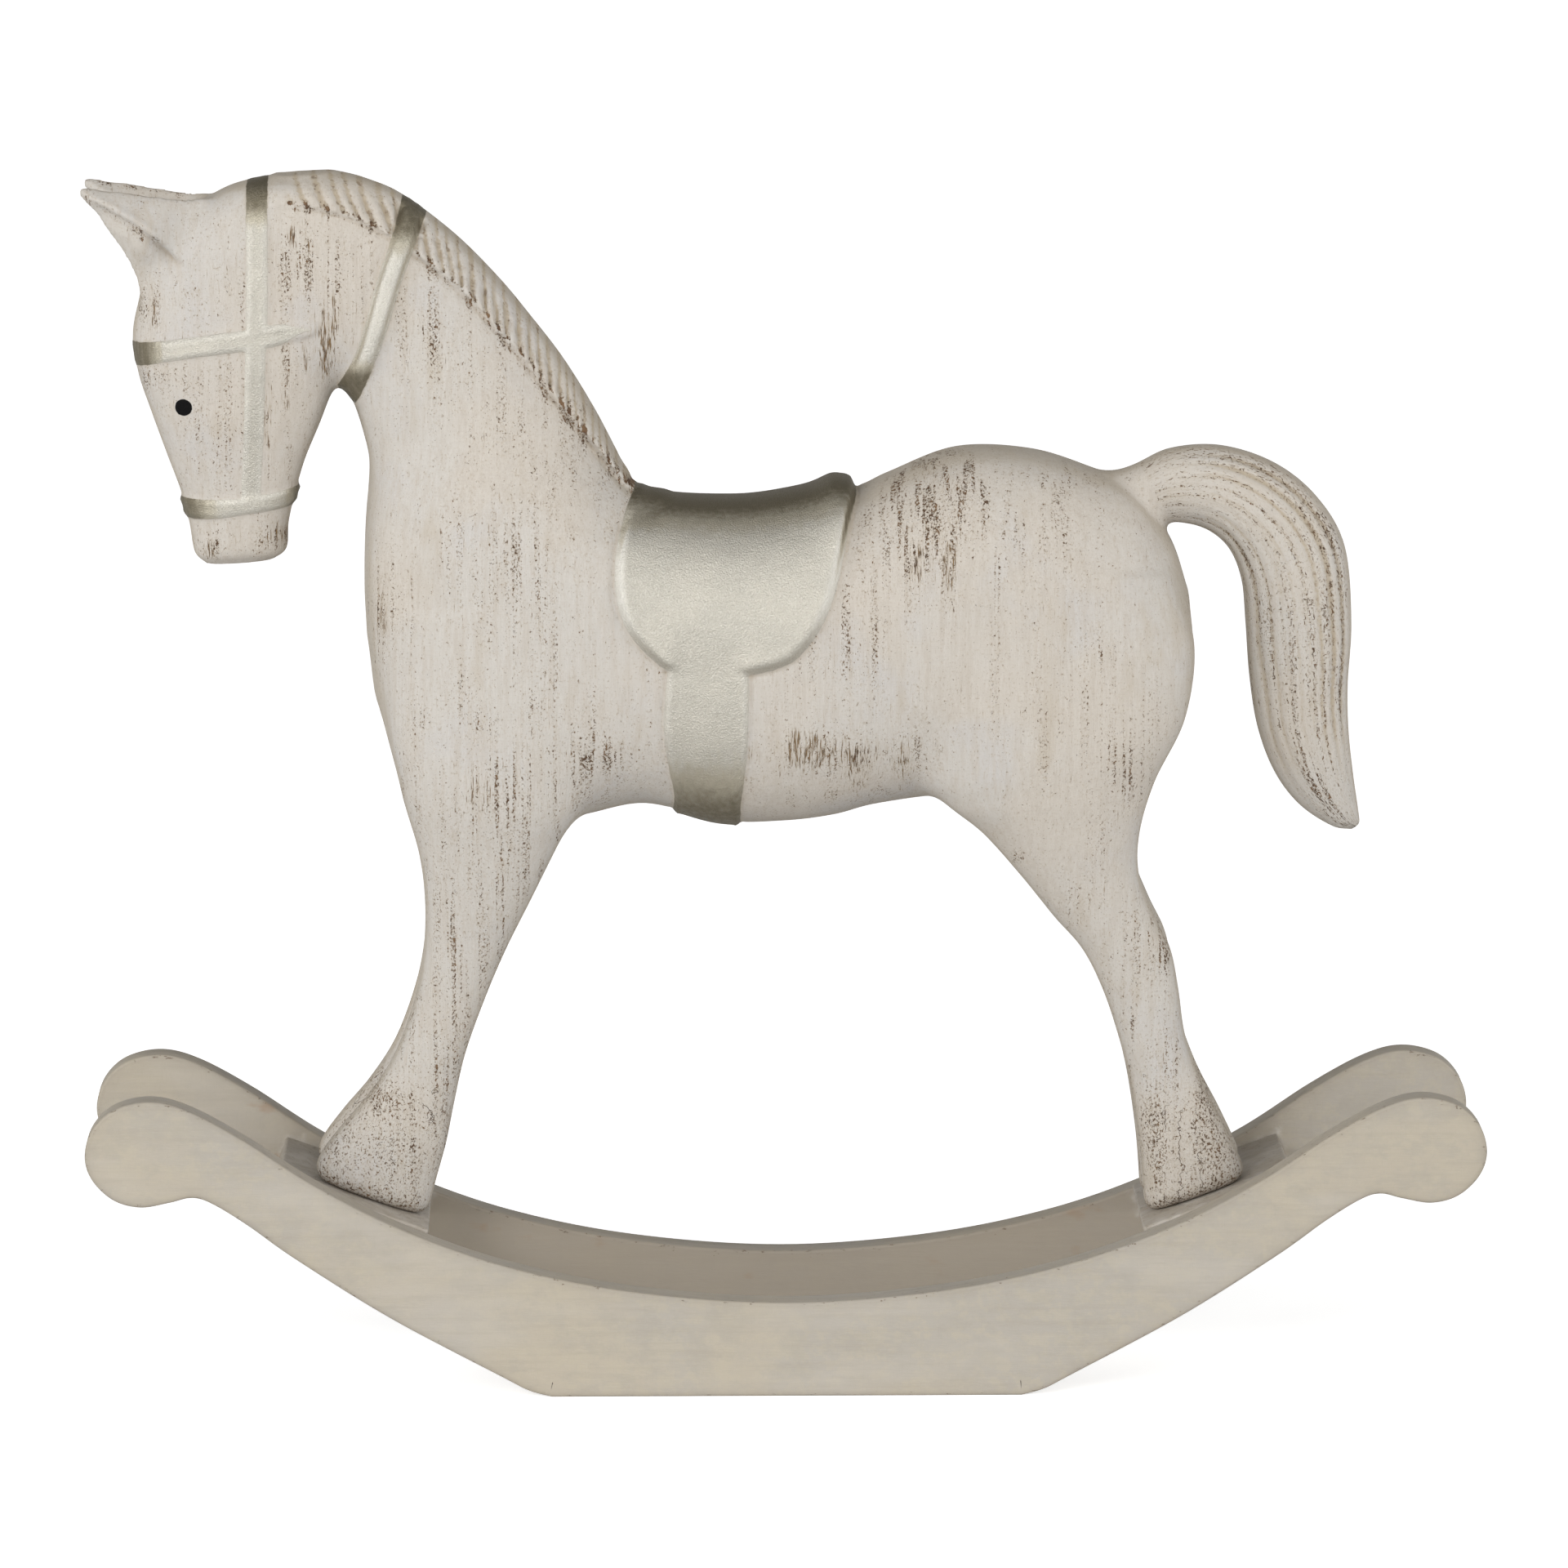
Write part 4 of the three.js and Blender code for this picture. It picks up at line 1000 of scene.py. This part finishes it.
def tube_of_rings(rings):
    """Faces between rings of equal length, and a flat face on either end."""
    n, last = len(rings[0]), (len(rings) - 1) * len(rings[0])
    ends = [list(range(n - 1, -1, -1)), list(range(last, last + n))]
    return np.vstack(rings), ring_quads(len(rings), n).tolist() + ends


def board_outline():
    top = spline(BOARD + [(-x, z) for x, z in reversed(BOARD[:-1])], 10)
    flat = np.linspace(-FLAT, FLAT, 60)[1:-1]
    return np.vstack([top, np.stack([flat, 0 * flat], 1)])


def inset(outline, distance):
    """Moves a closed outline inwards along its own normals."""
    d = np.roll(outline, -1, axis=0) - np.roll(outline, 1, axis=0)
    n = np.stack([-d[:, 1], d[:, 0]], 1)
    return outline + n / np.linalg.norm(n, axis=1, keepdims=True) * distance


def settle(o, angle=40):
    """Smooth shading with sharp edges kept."""
    bm = bmesh.new()
    bm.from_mesh(o.data)
    bmesh.ops.recalc_face_normals(bm, faces=bm.faces[:])
    bm.to_mesh(o.data)
    bm.free()
    o.data.shade_smooth()
    o.data.set_sharp_from_angle(angle=math.radians(angle))


def rocker_board(name, s):
    r = 1.3
    arc = [(r * (1 - math.sin(a)), r * (1 - math.cos(a))) for a in np.linspace(0, math.pi / 2, 6)]
    half = [(6.5, 0.0), (2.6, 0.0)] + arc
    profile = half + [(shrink, BOARD_T - depth) for shrink, depth in reversed(half)]
    outline = board_outline()
    rings, edge = [], []
    for shrink, depth in profile:
        x, z = inset(outline, shrink).T
        rings.append(np.stack([x, np.full(len(x), s * (BOARD_Y - depth)), z], 1))
        on_face = depth < r or depth > BOARD_T - r
        edge += [bump(max(shrink - 0.9, 0), 0, 1.6) if on_face else 0.35] * len(x)
    o = mesh_object(name, *tube_of_rings(rings))
    settle(o)
    give(o.data, "edge", edge)
    return o


def turned(profile, sides):
    """A closed turned form round its own Z, as vertices and faces."""
    t = np.arange(sides) * 2 * np.pi / sides
    return tube_of_rings([
        np.stack([r * np.cos(t), r * np.sin(t), np.full(sides, h)], 1) for r, h in profile
    ])


def placed(verts, origin, up):
    q = Vector((0, 0, 1)).rotation_difference(Vector(up).normalized())
    return np.array([(q @ Vector(v)) + Vector(origin) for v in verts])


def screw_places(s):
    middle, along, normal = slat_frame(s)
    foot = middle - along * SCREW_BACK - normal * SLAT_T / 2
    return [foot + np.array([0, y, 0]) for y in (-SCREW_Y, SCREW_Y)], normal


def cross_slat(name, s):
    middle, along, normal = slat_frame(s)
    bm = bmesh.new()
    bmesh.ops.create_cube(bm, size=1)
    bmesh.ops.scale(bm, vec=(SLAT_LENGTH, SLAT_WIDE, SLAT_T), verts=bm.verts[:])
    bmesh.ops.bevel(bm, geom=bm.edges[:], offset=1.2, segments=4, profile=0.5, affect="EDGES")
    verts = np.array([v.co[:] for v in bm.verts])
    faces = [[v.index for v in f.verts] for f in bm.faces]
    bm.free()
    o = mesh_object(name, middle + verts @ np.array([along, (0, 1, 0), normal]), faces)
    settle(o)
    for foot in screw_places(s)[0]:
        verts, faces = turned([(6.6, -1.5), (4.5, 0.6), (2.5, 3.6), (2.5, 14)], 40)
        tool = mesh_object("hole_tool", placed(verts, foot, normal), faces)
        settle(tool)
        cut = o.modifiers.new("hole", "BOOLEAN")
        cut.operation, cut.solver, cut.object = "DIFFERENCE", "EXACT", tool
        done = bpy.data.meshes.new_from_object(o.evaluated_get(bpy.context.evaluated_depsgraph_get()))
        o.modifiers.clear()
        o.data = done
        bpy.data.objects.remove(tool)
    settle(o)
    rel = read(o.data.vertices, "co") / MM - middle
    to_end = np.abs(SLAT_LENGTH / 2 - np.abs(rel @ along))
    to_face = np.abs(SLAT_T / 2 - np.abs(rel @ normal))
    give(o.data, "edge", bump(np.minimum(to_end, to_face), 0, 1.2))
    return o


def hoof_screw(name, foot, up):
    """A countersunk screw with a cross recess, driven up into the hoof."""
    thread = [(2.35 if h % 2 else 1.75, float(h)) for h in range(30, 4, -1)]
    head = [(2.0, 4.0), (2.1, 3.4), (4.1, 1.0), (4.2, 0.8), (4.1, 0.55)]
    flat = [(r, 0.45) for r in np.linspace(3.9, 0.25, 14)]
    verts, faces = turned([(0.6, 36), (2.0, 32)] + thread + head + flat, 64)
    x, y, z = verts.T
    r = np.hypot(x, y)
    slot = np.minimum(np.abs(x), np.abs(y)) + 0.12 * r
    depth = 1.3 * step(-slot, -0.75, -0.45) * step(-r, -2.6, -2.1)
    verts[:, 2] += np.where(z < 0.5, depth - 0.1 * (1 - (r / 4.2) ** 2), 0)
    o = mesh_object(name, placed(verts, foot, up), faces)
    settle(o, 35)
    return o


# ---------------- everything


def show(o, node, slot, *mats):
    for m in mats:
        o.data.materials.append(m)
    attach(o, "root")
    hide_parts(node)


def area_light(name, place, aim, size, power, colour=(1, 1, 1)):
    data = bpy.data.lights.new(name, "AREA")
    data.shape, data.size, data.size_y = "RECTANGLE", *size
    data.energy, data.color = power, colour
    point(linked(name, data), Vector(place), Vector(aim) - Vector(place))


def point(o, place, direction):
    o.location = place
    o.rotation_mode = "QUATERNION"
    o.rotation_quaternion = direction.to_track_quat("-Z", "Y")


def soft_room():
    """Light from a broad white wall behind the camera, and a smaller one far behind the horse."""
    bpy.context.scene.world = world = bpy.data.worlds.new("studio")
    s = Shade(world, "Background", "OutputWorld")
    _, y, z = s.parts(s.places["Generated"])
    front = s.mul(s.span(y, -0.3, 0.2, 1.1, 0.0), s.span(z, 0.7, 0.95, 1, 0))
    rear = s.mul(s.span(y, 0.2, 0.8, 0.0, 0.6), s.span(z, 0.12, 0.42, 1, 0))
    seen = s.node("LightPath").outputs["Is Camera Ray"]
    room = s.add(s.add(front, rear), 0.14)
    s.done(Color=(1.0, 0.995, 0.985), Strength=s.most(room, seen))


def studio():
    bpy.context.scene.view_settings.view_transform = "Standard"
    # the floor looks white, and throws less light back up than it seems to
    s = material("floor_white")
    seen = s.node("LightPath").outputs["Is Camera Ray"]
    paint = s.done(Base_Color=(0.8, 0.8, 0.8), Roughness=0.9, Emission_Color=(1, 1, 1),
                   Emission_Strength=s.lerp(seen, 0.04, 0.66))
    far = 20000
    corners = [(-far, -far, 0), (far, -far, 0), (far, far, 0), (-far, far, 0)]
    floor = mesh_object("floor", corners, [(0, 1, 2, 3)])
    floor.data.materials.append(paint)
    soft_room()
    area_light("key", (-1.5, -3.3, 1.5), (0, 0, 0.25), (1.1, 1.1), 36, (1.0, 0.99, 0.97))
    for x, side in ((-2.6, "left"), (2.6, "right")):
        area_light(f"strip_{side}", (x, -1.0, 0.7), (0, 0, 0.3), (0.5, 1.8), 15)

    azimuth, elevation, distance = math.radians(-1.03), math.radians(9.65), 4.327
    flat = math.cos(elevation)
    back = Vector((math.sin(azimuth) * flat, -math.cos(azimuth) * flat, math.sin(elevation)))
    lens = bpy.data.cameras.new("camera")
    lens.sensor_width, lens.lens, lens.clip_start, lens.clip_end = 36, 230.5, 0.1, 100
    camera = linked("camera", lens)
    point(camera, Vector((-0.0001, 0, 0.2565)) + back * distance, -back)
    bpy.context.scene.camera = camera


def main():
    whole, plan = build_horse()
    paint = horse_paint()
    raw = bare_wood("joint_face", (240, 60, 240), (0.42, 0.29, 0.17), (0.55, 0.4, 0.25), 0.85)
    for node, how in plan.items():
        o = block(f"{node}_carved", whole, *how)
        brush(o.data, node == "tail")
        show(o, node, "whitewash_paint", paint, raw)
    bpy.data.meshes.remove(whole)
    grey, steel = board_paint(), screw_steel()
    beech = bare_wood("beech_wood", (200, 200, 40), (0.5, 0.34, 0.18), (0.62, 0.45, 0.27), 0.8)
    for s, side in ((-1, "near"), (1, "far")):
        show(rocker_board(f"board_{side}", s), f"rocker_board_{side}", "greige_paint", grey)
    for s, end in ((-1, "front"), (1, "rear")):
        show(cross_slat(f"slat_{end}", s), f"cross_slat_{end}", "greige_paint", grey)
        feet, up = screw_places(s)
        for foot, side in zip(feet, ("near", "far")):
            screw = hoof_screw(f"screw_{end}_{side}", foot, up)
            show(screw, f"hoof_screw_{end}_{side}", "steel", steel)
    for name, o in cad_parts.items():
        if "dowel" in name:
            o.data.materials.clear()
            o.data.materials.append(beech)
    studio()


main()
